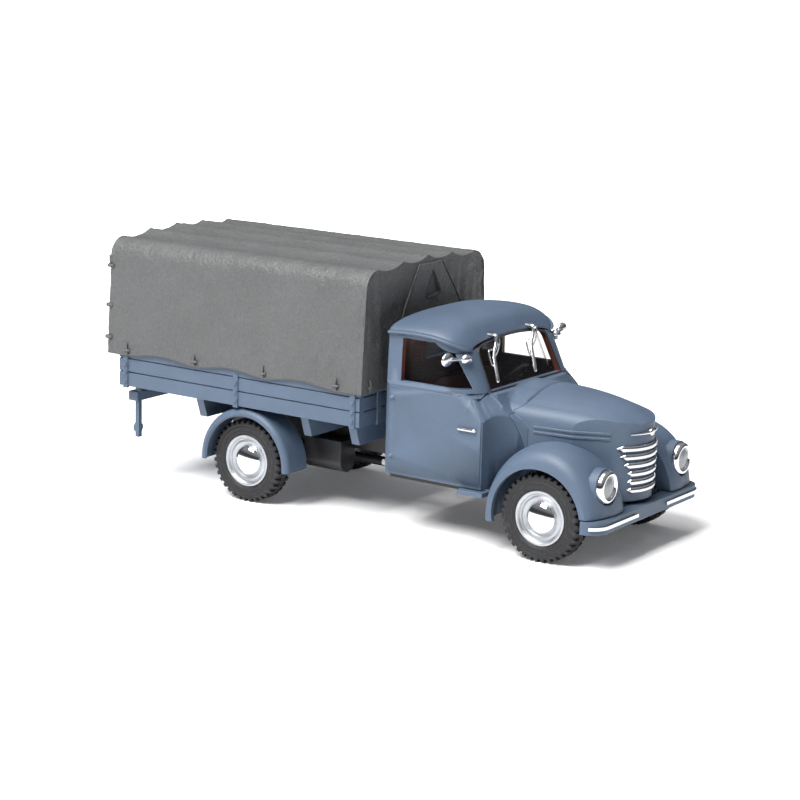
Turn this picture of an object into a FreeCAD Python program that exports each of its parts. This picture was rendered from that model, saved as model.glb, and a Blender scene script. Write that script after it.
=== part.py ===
import FreeCAD, Part
import math
import os
import re
import Sketcher

# Bonneted 1950s delivery lorry with a tarpaulin tilt, as a 1:87 plastic scale model.
# Frame: +Z up, the front of the lorry points to -Y, its left side to +X.
# The origin is on the floor under the middle of the whole model. Millimetres.

document = FreeCAD.newDocument("delivery_lorry_model")
sizes = document.addObject("Spreadsheet::Sheet", "Sizes")

DRIVING_SIZES = [
    # running gear
    ("wheelbase", 32.2, "between the two axles"),
    ("front_axle_ahead", 21.06, "front axle ahead of the origin"),
    ("tyre_radius", 3.96, "over the tread lugs"),
    ("tyre_width", 2.0, "over the tread"),
    ("tyre_centre", 8.04, "from the middle plane to the middle of a tyre"),
    ("lug_depth", 0.24, "tread lug above the casing"),
    ("lug_length", 0.62, "tread lug across the shoulder"),
    ("lug_width", 0.36, "tread lug along the tread"),
    ("lug_count", 36, "lugs on each shoulder"),
    ("disc_radius", 2.46, "wheel disc"),
    ("disc_lip", 0.22, "rolled edge of the wheel disc"),
    ("disc_dish", 0.3, "depth of the dish behind the lip"),
    ("disc_inset", 0.1, "wheel disc behind the outer face of its tyre"),
    ("disc_back", 0.3, "back of the wheel disc inside the inner face of its tyre"),
    ("cap_radius", 1.3, "hub cap"),
    ("cap_height", 0.5, "hub cap dome"),
    ("axle_radius", 0.5, "steel axle pin"),
    ("axle_play", 0.05, "running clearance round the axle pin"),
    ("axle_seat", 0.02, "gap between tyre, disc and pin seats"),
    # chassis moulding
    ("frame_inner", 2.5, "inner face of a side rail"),
    ("frame_wall", 0.8, "thickness of a side rail"),
    ("frame_front_ahead", 25.88, "front end of the rails"),
    ("frame_rear_behind", 17.3, "rear end of the rails"),
    ("frame_front_low", 3.9, "underside of the front rails"),
    ("frame_front_top", 4.9, "top of the front rails"),
    ("frame_rear_low", 5.5, "underside of the rear rails"),
    ("frame_kick_ahead", 3.9, "where the rails rise behind the cab"),
    ("frame_kick_run", 3.2, "length of the rise"),
    ("bearer_low", 7.4, "underside of the bed bearers, top of the rear rails"),
    ("cross_wall", 0.9, "cross member along the lorry"),
    ("cross_height", 0.8, "height of a cross member"),
    ("spring_width", 0.8, "width of a leaf spring"),
    ("spring_half", 4.1, "half length of a leaf spring"),
    ("spring_drop_front", 0.45, "camber of a front leaf spring"),
    ("spring_drop_rear", 1.15, "camber of a rear leaf spring"),
    ("spring_thick", 0.75, "thickness of a spring pack"),
    ("hanger_radius", 0.85, "axle boss on the spring"),
    ("hanger_width", 0.8, "post between a rear spring and its rail"),
    ("gearbox_ahead", 17.2, "front of the gearbox ahead of the origin"),
    ("gearbox_length", 5.6, "gearbox"),
    ("gearbox_half", 2.0, "half width of the gearbox"),
    ("gearbox_low", 2.9, "underside of the gearbox"),
    ("shaft_radius", 0.45, "propeller shaft"),
    ("casing_ball", 1.3, "differential housing"),
    ("casing_wall", 0.35, "wall of the rear axle tube"),
    ("cab_seat", 0.9, "seat of the cab on the frame"),
    ("tray_half", 7.9, "half width of the black floor under the cab"),
    ("tray_low", 4.85, "underside of the black floor under the cab"),
    ("tray_front_ahead", 13.6, "front of the black floor ahead of the origin"),
    # cab moulding
    ("cab_half", 8.94, "half width over the doors"),
    ("door_proud", 0.15, "door panel in front of the cab side"),
    ("cab_rear_ahead", 4.6, "rear wall of the cab ahead of the origin"),
    ("door_front_ahead", 14.84, "front edge of the door ahead of the origin"),
    ("door_margin", 0.35, "door panel away from the rear edge and the sill"),
    ("door_top", 13.5, "top of the door panel"),
    ("cab_floor", 5.4, "underside of the cab"),
    ("waist", 13.9, "top of the lower body"),
    ("waist_front_ahead", 13.2, "where the lower body begins to fall towards the bonnet"),
    ("cowl_break_ahead", 14.5, "upper end of the hollow in front of the door"),
    ("cowl_break_top", 13.55, "height of that end"),
    ("cowl_foot_ahead", 17.4, "where the cab side meets the bonnet side"),
    ("cowl_foot_top", 11.3, "height of the cab side at the bonnet side"),
    ("cowl_fall", 4.4, "hollow from the window pillar down to the bonnet side"),
    ("cowl_sweep", 4.2, "hollow from the door to the bonnet side, in plan"),
    ("house_floor", 13.3, "where the window pillars rise out of the lower body"),
    ("drip_half", 8.6, "half width of the cab at the drip rail"),
    ("drip_rear", 18.3, "height of the roof edge at the rear"),
    ("drip_front", 17.2, "height of the roof edge above the windscreen"),
    ("roof_rear", 19.5, "top of the roof at its rear edge"),
    ("roof_crown", 19.8, "top of the roof"),
    ("roof_front", 18.95, "top of the roof above the windscreen"),
    ("rail_proud", 0.12, "drip rail in front of the cab side"),
    ("rail_height", 0.26, "height of the drip rail"),
    ("rail_front_ahead", 12.3, "front end of the drip rail ahead of the origin"),
    ("rail_front", 17.55, "height of the drip rail at its front end"),
    ("rail_front_half", 6.75, "drip rail from the middle plane at its front end"),
    ("rail_turn_ahead", 8.2, "where the drip rail turns inwards, ahead of the origin"),
    ("rail_turn", 5.2, "curve of the drip rail in plan"),
    ("shoulder_ahead", 12.3, "where the body side begins to fall to the cowl"),
    ("shoulder_low", 13.62, "height of that fall outside the body side"),
    ("shoulder_inner", 4.0, "inner end of the falling surface"),
    ("shoulder_high", 17.45, "height of the falling surface at its inner end"),
    ("shoulder_fall", 1.145, "fall of the shoulder for each millimetre forwards"),
    ("shoulder_wall", 0.38, "inside of the shoulder below its outside"),
    ("screen_low", 13.6, "foot of the windscreen panel"),
    ("screen_low_ahead", 13.91, "foot of the windscreen panel ahead of the origin"),
    ("screen_rake", 0.476, "the windscreen leans back by this part of its height"),
    ("screen_flat", 6.1, "half width of the flat windscreen panel"),
    ("pillar_radius", 2.7, "rounded corner from the windscreen to the door"),
    ("screen_half_low", 6.03, "half width of the windscreen at its foot"),
    ("screen_half_high", 5.85, "half width of the windscreen at its head"),
    ("screen_sill", 13.7, "lower edge of the windscreen"),
    ("screen_corner", 17.4, "head of the windscreen at its corners"),
    ("screen_round", 0.8, "corner radius of the windscreen head"),
    ("screen_bow", 29.0, "curve of the windscreen head"),
    ("window_rear_ahead", 6.07, "rear edge of the door window"),
    ("window_sill", 14.05, "sill of the door window"),
    ("window_head", 17.95, "head of the door window"),
    ("window_bend_ahead", 9.4, "where the window head begins to fall"),
    ("window_corner_ahead", 11.35, "front end of the window head"),
    ("window_corner_top", 17.05, "height of that end"),
    ("window_front_ahead", 13.1, "front corner of the window sill"),
    ("window_bend", 3.2, "curve of the window head"),
    ("back_window_half", 3.4, "half width of the rear window"),
    ("back_window_low", 15.1, "sill of the rear window"),
    ("back_window_high", 17.65, "head of the rear window"),
    ("cab_wall", 0.55, "thickness of the cab wall"),
    ("glass", 0.4, "thickness of the clear glazing"),
    ("glass_lap", 0.35, "glazing behind the frame of each window"),
    ("hinge_rear_gap", 0.45, "hinge in front of the rear edge of the door"),
    ("hinge_size", 0.5, "door hinge block"),
    ("hinge_low", 7.08, "height of the lower hinge"),
    ("hinge_high", 12.45, "height of the upper hinge"),
    # bonnet and nose
    ("nose_radius", 3.6, "plan radius of the nose"),
    ("nose_ahead", 26.7, "front of the nose ahead of the origin"),
    ("nose_sweep", 65.0, "half angle of the round nose"),
    ("nose_low", 4.95, "underside of the nose"),
    ("bonnet_rear_ahead", 14.05, "rear end of the bonnet arch under the windscreen"),
    ("bonnet_joint_ahead", 17.0, "last full section of the bonnet"),
    ("bonnet_middle_ahead", 21.6, "middle section of the bonnet"),
    ("bonnet_front_ahead", 25.0, "front section of the bonnet"),
    ("bonnet_tip_ahead", 27.4, "section in front of the nose"),
    ("bonnet_half", 5.3, "half width of the bonnet at its joint with the cab"),
    ("bonnet_taper", 0.13, "the bonnet narrows by this part of its length"),
    ("bonnet_crest", 13.95, "top of the bonnet at its joint with the cab"),
    ("lid_low", 11.35, "lower edge of the bonnet lid"),
    ("lid_run", 0.95, "rounded shoulder of the bonnet lid, across"),
    ("lid_rise", 1.35, "rounded shoulder of the bonnet lid, upwards"),
    ("hump_half", 2.4, "half width of the raised spine at the joint with the cab"),
    ("hump_rise", 0.33, "height of the raised spine"),
    ("lid_curve", 9.5, "curve of the lid beside the spine"),
    ("joint_low_ahead", 17.35, "foot of the joint between cab and bonnet"),
    ("joint_low", 8.4, "height of that foot"),
    ("joint_bend_ahead", 15.8, "rearmost point of that joint"),
    ("joint_bend", 12.2, "height of the rearmost point"),
    ("joint_top_ahead", 16.9, "top of that joint"),
    ("joint_top", 13.7, "height of the top"),
    ("bead_low", 10.42, "lower bead along the bonnet side"),
    ("bead_pitch", 0.46, "between two beads"),
    ("bead_height", 0.2, "height of a bead"),
    ("bead_proud", 0.1, "bead in front of the bonnet side"),
    ("bead_start_ahead", 17.9, "rear end of the beads"),
    ("fit", 0.04, "joint between two blue mouldings"),
    # front wings
    ("wing_shift", 0.15, "centre of the wing behind the front axle"),
    ("wing_inner", 4.35, "inner edge of a front wing"),
    ("wing_crown", 7.0, "crown of a front wing from the middle plane"),
    ("wing_shoulder", 8.8, "outer shoulder of a front wing"),
    ("wing_outer", 9.5, "outer edge of a front wing"),
    ("wing_inner_rise", 5.65, "radius of the wing at its inner edge"),
    ("wing_rise", 6.4, "radius of the wing at its crown"),
    ("wing_slope", 0.45, "fall from the crown to the outer shoulder"),
    ("wing_lip", 4.95, "radius of the turned edge of the wing"),
    ("arch_radius", 4.45, "radius of the wheel arch"),
    ("wing_wall", 0.45, "thickness of a wing"),
    ("wing_foot", 3.0, "rear foot of the wing above the floor"),
    ("wing_nose_low", 4.7, "front underside of the wing above the floor"),
    ("wing_core", 1.0, "clear space round the middle of the wing"),
    ("step_rear_ahead", 12.76, "rear end of the door step ahead of the origin"),
    ("step_top", 5.3, "top of the door step"),
    ("step_thick", 0.4, "thickness of the door step"),
    ("step_outer", 9.45, "outer edge of the door step"),
    ("step_inner", 7.95, "inner edge of the door step"),
    # lamps
    ("lamp_side", 6.8, "headlamp from the middle plane"),
    ("lamp_height", 7.2, "headlamp centre above the floor"),
    ("lamp_ahead", 26.15, "headlamp seat ahead of the origin"),
    ("lamp_radius", 1.5, "outside of the headlamp rim"),
    ("lamp_boss_wall", 0.12, "body boss round the headlamp"),
    ("lamp_boss_depth", 0.8, "body boss behind the headlamp"),
    ("lens_radius", 0.86, "headlamp lens"),
    ("rim_depth", 0.62, "headlamp rim"),
    ("lens_bulge", 0.2, "rise of the domed lens"),
    ("lens_seat", 0.2, "floor of the rim behind the lens"),
    # bumper
    ("bumper_ahead", 27.22, "bumper front ahead of the origin"),
    ("bumper_half", 9.6, "half width of the bumper"),
    ("bumper_low", 3.45, "underside of the bumper"),
    ("bumper_top", 4.6, "top of the bumper"),
    ("bumper_depth", 1.3, "top flange of the bumper"),
    ("bumper_wall", 0.45, "web of the bumper"),
    ("bumper_corner", 1.75, "corner radius of the bumper"),
    ("strip_low", 3.88, "lower edge of the bright strip"),
    ("strip_height", 0.3, "bright strip on the bumper"),
    ("strip_proud", 0.12, "thickness of the bright strip"),
    ("strip_inner", 2.6, "inner end of the bright strip"),
    ("strip_wrap", 0.9, "bright strip round the corner of the bumper"),
    # grille
    ("bar_pitch", 0.75, "between two grille bars"),
    ("bar_top", 9.71, "height of the top grille bar"),
    ("bar_half", 0.19, "half height of a grille bar"),
    ("bar_count", 6, "grille bars"),
    ("bar_sweep", 56.5, "half angle of the top grille bar"),
    ("bar_sweep_drop", 5.6, "each lower bar is shorter by this angle"),
    ("bar_last_full", 4, "the bars below this one keep its length"),
    ("trim_height", 10.98, "middle of the spear above the grille"),
    ("trim_half", 0.13, "half height of the spear"),
    ("trim_sweep", 38.0, "half angle of the spear"),
    ("trim_badge", 0.34, "plain round boss in the middle of the spear"),
    # bed
    ("bed_half", 9.98, "outer face of the bed sides"),
    ("bed_front_ahead", 2.46, "front face of the headboard ahead of the origin"),
    ("bed_rear_behind", 25.98, "rear face of the tailgate behind the origin"),
    ("bed_low", 9.37, "underside of the bed"),
    ("bed_high", 12.95, "top of the bed boards"),
    ("board_wall", 0.6, "thickness of the bed boards"),
    ("plank_height", 1.33, "height of one plank"),
    ("groove", 0.14, "groove between planks"),
    ("floor_thick", 0.6, "thickness of the bed floor"),
    ("post_proud", 0.14, "posts and straps in front of the boards"),
    ("post_root", 0.1, "posts let into the boards"),
    ("post_drop", 0.15, "posts below the boards"),
    ("post_width", 0.55, "width of a post"),
    ("post_front", 0.72, "front post behind the headboard's face"),
    ("post_rear", 0.85, "rear post ahead of the tailgate's face"),
    ("post_middle_behind", 11.66, "middle post of the bed side"),
    ("end_post_side", 6.98, "posts of headboard and tailgate"),
    ("stud_radius", 0.19, "studs on the posts"),
    ("stud_pitch", 0.85, "between two studs on a post"),
    ("stud_low", 0.5, "lowest stud above the underside of the bed"),
    ("bearer_thick", 0.85, "bed bearer along the lorry"),
    ("bearer_inset", 0.48, "bearer ends inside the bed sides"),
    ("bearer_rake", 0.7, "slope of a bearer end"),
    ("bearer_front", 0.1, "first bearer behind the headboard"),
    ("bearer_middle_behind", 3.65, "second bearer behind the origin"),
    ("bearer_rear_behind", 16.0, "third bearer behind the origin"),
    # rear mudguards
    ("guard_ahead", 0.4, "middle of a rear mudguard ahead of the rear axle"),
    ("guard_inset", 3.03, "inner edge of a rear mudguard inside the bed side"),
    ("guard_overhang", 0.07, "outer edge of a rear mudguard outside the bed side"),
    ("guard_roll", 0.55, "rounded shoulder of a rear mudguard"),
    ("guard_radius", 5.18, "outside radius of a rear mudguard"),
    ("guard_wall", 0.4, "thickness of a rear mudguard"),
    ("guard_foot", 3.7, "foot of a rear mudguard above the floor"),
    # tail lamp bar
    ("tail_bar_behind", 24.55, "front of the tail bar behind the origin"),
    ("tail_bar_thick", 1.1, "tail bar along the lorry"),
    ("tail_bar_low", 7.75, "underside of the tail bar"),
    ("tail_bar_high", 8.65, "top of the tail bar"),
    ("tail_bar_inset", 0.98, "tail bar ends inside the bed sides"),
    ("tail_post_inset", 0.45, "drop post inside the end of the tail bar"),
    ("tail_post_width", 0.45, "drop post of the tail bar"),
    ("tail_post_low", 4.15, "foot of the drop post"),
    ("tail_lamp_radius", 0.5, "tail lamp"),
    ("tail_lamp_high", 0.8, "tail lamp above the foot of its post"),
    ("tail_lamp_depth", 0.4, "depth of a tail lamp"),
    # tilt
    ("tilt_front_ahead", 2.83, "front of the tilt ahead of the origin"),
    ("tilt_rear_behind", 27.23, "rear of the tilt behind the origin"),
    ("tilt_overhang", 0.29, "hem of the tilt outside the bed side"),
    ("tilt_lean", 0.47, "the side of the tilt leans in by this much"),
    ("tilt_hem", 12.4, "hem of the tilt"),
    ("tilt_drop", 1.9, "side corner of the tilt below the outer ridge"),
    ("tilt_corner", 2.1, "corner radius of the tilt"),
    ("ridge_outer", 23.6, "height of the outer ridges"),
    ("ridge_inner_rise", 0.3, "inner ridges above the outer ridges"),
    ("ridge_middle_rise", 0.45, "middle ridge above the outer ridges"),
    ("ridge_pitch", 4.0, "between two ridges"),
    ("sag_radius", 5.2, "hollow of the cloth between two ridges"),
    ("tilt_wall", 0.6, "thickness of the tilt"),
    ("skirt_wall", 0.22, "skirt of the tilt outside the boards"),
    ("skirt_gap", 0.07, "between the skirt and the boards"),
    ("scallop", 0.4, "rise of the hem between two fasteners"),
    ("wave_half", 3.5, "half length of a wave in the hem"),
    ("fastener_rear_behind", 24.65, "rearmost fastener of the hem"),
    ("fastener_pitch", 8.3, "between two fasteners"),
    ("flap_half", 6.1, "half width of the front flap at its foot"),
    ("flap_foot", 1.6, "foot of the front flap above the boards"),
    ("flap_proud", 0.18, "front flap in front of the tilt"),
    ("vent_half", 1.0, "half width of the vent in the flap"),
    ("vent_low", 19.9, "foot of the vent"),
    ("vent_high", 22.5, "top of the vent"),
    ("vent_deep", 0.3, "depth of the vent"),
    # fittings
    ("handle_height", 10.72, "door handle above the floor"),
    ("handle_length", 1.8, "door handle"),
    ("handle_ahead", 14.28, "front end of the door handle ahead of the origin"),
    ("handle_half", 0.15, "half height of a door handle"),
    ("handle_proud", 0.3, "door handle in front of the door"),
    ("wiper_side", 2.65, "wiper peg from the middle plane"),
    ("wiper_peg", 4.3, "wiper peg above the foot of the windscreen, along the glass"),
    ("wiper_tip", 0.75, "wiper tip above the foot of the windscreen, along the glass"),
    ("wiper_lean", 1.7, "both wipers lean to the right by this much"),
    ("wiper_width", 0.26, "wiper arm"),
    ("wiper_thick", 0.25, "thickness of a wiper"),
    ("wiper_gap", 0.12, "between a wiper and the glass panel"),
    ("mirror_ahead", 11.6, "mirror ahead of the origin"),
    ("mirror_height", 16.75, "mirror above the floor"),
    ("mirror_foot", 8.15, "foot of the mirror stalk from the middle plane"),
    ("mirror_tip", 10.35, "outer end of the mirror head"),
    ("mirror_neck", 8.95, "where the stalk meets the mirror head"),
    ("mirror_radius", 0.62, "mirror head"),
    ("stalk_radius", 0.2, "mirror stalk"),
    ("pipe_radius", 0.3, "exhaust pipe"),
    ("pipe_bore", 0.2, "bore of the exhaust pipe"),
    ("pipe_bore_depth", 0.8, "depth of that bore"),
    ("pipe_end_ahead", 3.2, "rear end of the exhaust pipe ahead of the origin"),
    ("pipe_height", 5.8, "exhaust pipe above the floor"),
    ("pipe_side", 7.0, "exhaust pipe from the middle plane"),
    ("tank_radius", 1.15, "fuel tank"),
    ("tank_length", 4.2, "fuel tank"),
    ("tank_behind", 2.6, "fuel tank behind the origin"),
    ("tank_height", 4.55, "middle of the fuel tank's round belly"),
    ("tank_top", 6.5, "top of the fuel tank"),
    # inside the cab
    ("tub_low", 5.5, "underside of the cab lining"),
    ("tub_floor", 6.4, "floor of the cab lining"),
    ("tub_front_ahead", 13.4, "front of the cab lining"),
    ("seat_height", 10.6, "top of the bench seat"),
    ("seat_depth", 3.6, "depth of the bench seat"),
    ("seat_back_top", 13.2, "top of the seat back"),
    ("seat_back_thick", 1.2, "seat back at its foot"),
    ("dash_top", 12.9, "top of the dashboard"),
    ("dash_front_ahead", 13.3, "front of the dashboard"),
    ("dash_depth", 1.3, "depth of the dashboard"),
    ("dash_height", 1.9, "height of the dashboard"),
    ("steering_side", 2.8, "steering wheel from the middle plane"),
    ("steering_ahead", 10.9, "steering wheel ahead of the origin"),
    ("steering_height", 13.2, "middle of the steering wheel"),
    ("steering_radius", 1.45, "steering wheel"),
    ("steering_rim", 0.13, "steering wheel rim"),
    ("steering_tilt", 50.0, "steering wheel against the floor"),
    ("spoke_half", 0.1, "half width of a steering wheel spoke"),
    ("column_length", 1.6, "steering column below its wheel"),
]
aliases = set()
for row_number, (alias, value, meaning) in enumerate(DRIVING_SIZES, start=1):
    sizes.set("A%d" % row_number, meaning)
    sizes.set("B%d" % row_number, str(value))
    sizes.setAlias("B%d" % row_number, alias)
    aliases.add(alias)
document.recompute()


def bound(text):
    """Turns plain size names into an expression that reads the sheet."""
    return re.sub(r"[a-z_]+", lambda word: "Sizes." + word.group(0) if word.group(0) in aliases
                  else word.group(0), str(text))


def number(text):
    """The present value of such an expression."""
    return float(sizes.evalExpression(bound(text)))


def new_body(label):
    body = document.addObject("PartDesign::Body", label)
    body.Label = label
    return body


def origin_plane(body, role):
    return next(plane for plane in body.Origin.OriginFeatures if plane.Role == role)


def new_sketch(body, role, name, away="0", up="0", tilt=None):
    """A sketch parallel to an origin plane; away is along its normal, up along its second axis.

    With a tilt, in degrees, the sketch is also turned about its own first axis.
    """
    sketch = body.newObject("Sketcher::SketchObject", name)
    sketch.AttachmentSupport = (origin_plane(body, role), [""])
    sketch.MapMode = "FlatFace"
    if tilt is not None:
        turn = FreeCAD.Rotation(FreeCAD.Vector(1, 0, 0), number(tilt))
        sketch.AttachmentOffset = FreeCAD.Placement(FreeCAD.Vector(), turn)
        sketch.setExpression("AttachmentOffset.Rotation.Angle", bound(tilt))
    sketch.setExpression("AttachmentOffset.Base.z", bound(away))
    sketch.setExpression("AttachmentOffset.Base.y", bound(up))
    return sketch


def dome(half_width, rise):
    """Radius of a dome with its centre on the axis, from its half width and its rise."""
    return "((%s * %s + %s * %s) / (2 * %s))" % (half_width, half_width, rise, rise, rise)


def hold_point(sketch, geometry, vertex, place):
    """Ties one sketch point to its two size expressions."""
    for kind, text, value in (("DistanceX", place[0], number(place[0])),
                              ("DistanceY", place[1], number(place[1]))):
        index = sketch.addConstraint(Sketcher.Constraint(kind, -1, 1, geometry, vertex, value))
        sketch.setExpression("Constraints[%d]" % index, bound(text))


def bulge_arc(start, end, radius):
    """Arc between two points; a positive radius bulges to the right of the way, a negative to the left."""
    chord = end - start
    half = chord.Length / 2.0
    size = max(abs(radius), half * 1.0001)
    rise = size - math.sqrt(size * size - half * half)
    right = FreeCAD.Vector(chord.y, -chord.x, 0).normalize()
    middle = (start + end) * 0.5 + right * (rise if radius > 0 else -rise)
    return Part.Arc(start, middle, end)


def outline(sketch, corners):
    """Closed outline. A corner is (x, y), or (x, y, radius) when an arc runs on to the next corner."""
    first = sketch.GeometryCount
    places = [FreeCAD.Vector(number(corner[0]), number(corner[1]), 0) for corner in corners]
    for index, corner in enumerate(corners):
        start = places[index]
        end = places[(index + 1) % len(corners)]
        if len(corner) == 2:
            sketch.addGeometry(Part.LineSegment(start, end))
        else:
            sketch.addGeometry(bulge_arc(start, end, number(corner[2])))
    for index, corner in enumerate(corners):
        geometry = first + index
        before = first + (index - 1) % len(corners)
        vertex = nearest_vertex(sketch, geometry, places[index])
        joined = nearest_vertex(sketch, before, places[index])
        sketch.addConstraint(Sketcher.Constraint("Coincident", before, joined, geometry, vertex))
        hold_point(sketch, geometry, vertex, corner)
        if len(corner) == 3:
            radius = abs(number(corner[2]))
            held = sketch.addConstraint(Sketcher.Constraint("Radius", geometry, radius))
            sketch.setExpression("Constraints[%d]" % held, "abs(%s)" % bound(corner[2]))
    return sketch


def nearest_vertex(sketch, geometry, place):
    start = sketch.getPoint(geometry, 1)
    end = sketch.getPoint(geometry, 2)
    return 1 if (start - place).Length <= (end - place).Length else 2


def box_outline(sketch, low_x, low_y, high_x, high_y):
    return outline(sketch, [(low_x, low_y), (high_x, low_y), (high_x, high_y), (low_x, high_y)])


def circle(sketch, x, y, radius):
    place = FreeCAD.Vector(number(x), number(y), 0)
    geometry = sketch.addGeometry(Part.Circle(place, FreeCAD.Vector(0, 0, 1), number(radius)))
    hold_point(sketch, geometry, 3, (x, y))
    held = sketch.addConstraint(Sketcher.Constraint("Radius", geometry, number(radius)))
    sketch.setExpression("Constraints[%d]" % held, bound(radius))
    return sketch


def pad(body, sketch, length, both_ways=False, reverse=False):
    feature = body.newObject("PartDesign::Pad", sketch.Name + "_pad")
    feature.Profile = sketch
    feature.setExpression("Length", bound(length))
    feature.SideType = "Symmetric" if both_ways else "One side"
    feature.Reversed = reverse
    return feature


def pocket(body, sketch, depth=None, both_ways=False, reverse=False):
    """A cut to a depth, or right through both ways when no depth is given."""
    feature = body.newObject("PartDesign::Pocket", sketch.Name + "_cut")
    feature.Profile = sketch
    if depth is None:
        feature.Type = "Length"
        feature.setExpression("Length", bound("4 * wheelbase"))
        feature.SideType = "Symmetric"
    else:
        feature.setExpression("Length", bound(depth))
        feature.SideType = "Symmetric" if both_ways else "One side"
    feature.Reversed = reverse
    return feature


def turned(body, sketch, angle=360, cut=False, axis="H_Axis", both_ways=False, reverse=False):
    kind = "PartDesign::Groove" if cut else "PartDesign::Revolution"
    feature = body.newObject(kind, sketch.Name + ("_groove" if cut else "_turned"))
    feature.Profile = sketch
    feature.ReferenceAxis = (sketch, [axis])
    feature.Angle = angle
    feature.Midplane = both_ways
    feature.Reversed = reverse
    return feature


def round_edges(body, name, radius, chosen):
    """Fillets the edges for which chosen(edge) is true, on the body's present tip."""
    document.recompute()
    tip = body.Tip
    names = ["Edge%d" % (index + 1) for index, edge in enumerate(tip.Shape.Edges) if chosen(edge)]
    if not names:
        raise RuntimeError("no edges found for " + name)
    feature = body.newObject("PartDesign::Fillet", name)
    feature.Base = (tip, names)
    feature.setExpression("Radius", bound(radius))
    document.recompute()
    return feature


def cut_from(label, base, tools):
    """A boolean cut of plain document objects, which takes the label of the finished piece."""
    result = base
    for index, tool in enumerate(tools):
        cut = document.addObject("Part::Cut", "%s_cut_%d" % (label, index))
        cut.Base = result
        cut.Tool = tool
        result = cut
    result.Label = label
    document.recompute()
    return result


finished = []


def keep(piece, label):
    piece.Label = label
    finished.append((label, piece))


# The front axle carries both front wheels, and the rear axle both rear wheels.
AXLE_PLACE = {"front": "-front_axle_ahead", "rear": "wheelbase - front_axle_ahead"}


def along(text):
    """Offset of a sketch on the XZ plane, whose normal points forwards to -Y."""
    return "-(%s)" % text


def make_axle(end):
    body = new_body(end + "_axle")
    sketch = new_sketch(body, "YZ_Plane", end + "_axle_section")
    circle(sketch, AXLE_PLACE[end], "tyre_radius", "axle_radius")
    pad(body, sketch, "2 * tyre_centre", both_ways=True)
    keep(body, end + "_axle")


def make_tyre(end, side_name, side):
    """Moulded tyre: a turned casing with a block at each pitch on both shoulders."""
    label = "tyre_%s_%s" % (end, side_name)
    body = new_body(label)
    middle = "%d * tyre_centre" % side
    casing = "(tyre_radius - lug_depth)"
    profile = new_sketch(body, "XZ_Plane", label + "_profile", away=along(AXLE_PLACE[end]), up="tyre_radius")
    half = "tyre_width / 2"
    bead = "(disc_radius + axle_seat)"
    outline(profile, [
        ("%s - %s * 0.8" % (middle, half), bead),
        ("%s + %s * 0.8" % (middle, half), bead),
        ("%s + %s" % (middle, half), "(%s + tyre_radius) / 2" % bead),
        ("%s + %s * 0.85" % (middle, half), casing),
        ("%s - %s * 0.85" % (middle, half), casing),
        ("%s - %s" % (middle, half), "(%s + tyre_radius) / 2" % bead),
    ])
    turned(body, profile)
    lug = new_sketch(body, "XZ_Plane", label + "_lugs", away=along(AXLE_PLACE[end]), up="tyre_radius")
    low = "%s - lug_depth" % casing
    for way in (-1, 1):
        tip = "%s + %d * %s * 0.96" % (middle, way, half)
        root = "%s + %d * (%s - lug_length)" % (middle, way, half)
        outline(lug, [(root, low), (tip, low), (tip, "tyre_radius"), (root, "tyre_radius")])
    block = pad(body, lug, "lug_width", both_ways=True)
    document.recompute()
    ring = body.newObject("PartDesign::PolarPattern", label + "_lug_ring")
    ring.Originals = [block]
    ring.Axis = (profile, ["H_Axis"])
    ring.Angle = 360
    ring.setExpression("Occurrences", bound("lug_count"))
    body.Tip = ring
    keep(body, label)


def make_disc(end, side_name, side):
    """Wheel disc: rolled lip, dished face and a domed hub cap, bored for the axle."""
    label = "wheel_%s_%s" % (end, side_name)
    body = new_body(label)
    face = "%d * (tyre_centre + tyre_width / 2 - disc_inset)" % side
    back = "%d * (tyre_centre - tyre_width / 2 + disc_back)" % side
    dish = "%s - %d * disc_dish" % (face, side)
    profile = new_sketch(body, "XZ_Plane", label + "_profile", away=along(AXLE_PLACE[end]), up="tyre_radius")
    bore = "(axle_radius + axle_seat)"
    outline(profile, [
        (back, bore),
        (back, "disc_radius"),
        (face, "disc_radius"),
        ("%s - %d * disc_lip / 4" % (face, side), "disc_radius - disc_lip"),
        (dish, "disc_radius - 2 * disc_lip"),
        ("%s + %d * disc_dish / 2" % (dish, side), "cap_radius", "%d * %s" % (-side, dome("cap_radius", "cap_height"))),
        ("%s + %d * (cap_height + disc_dish / 2)" % (dish, side), "0"),
        ("%d * (tyre_centre + axle_seat)" % side, "0"),
        ("%d * (tyre_centre + axle_seat)" % side, bore),
    ])
    turned(body, profile)
    keep(body, label)


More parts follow.
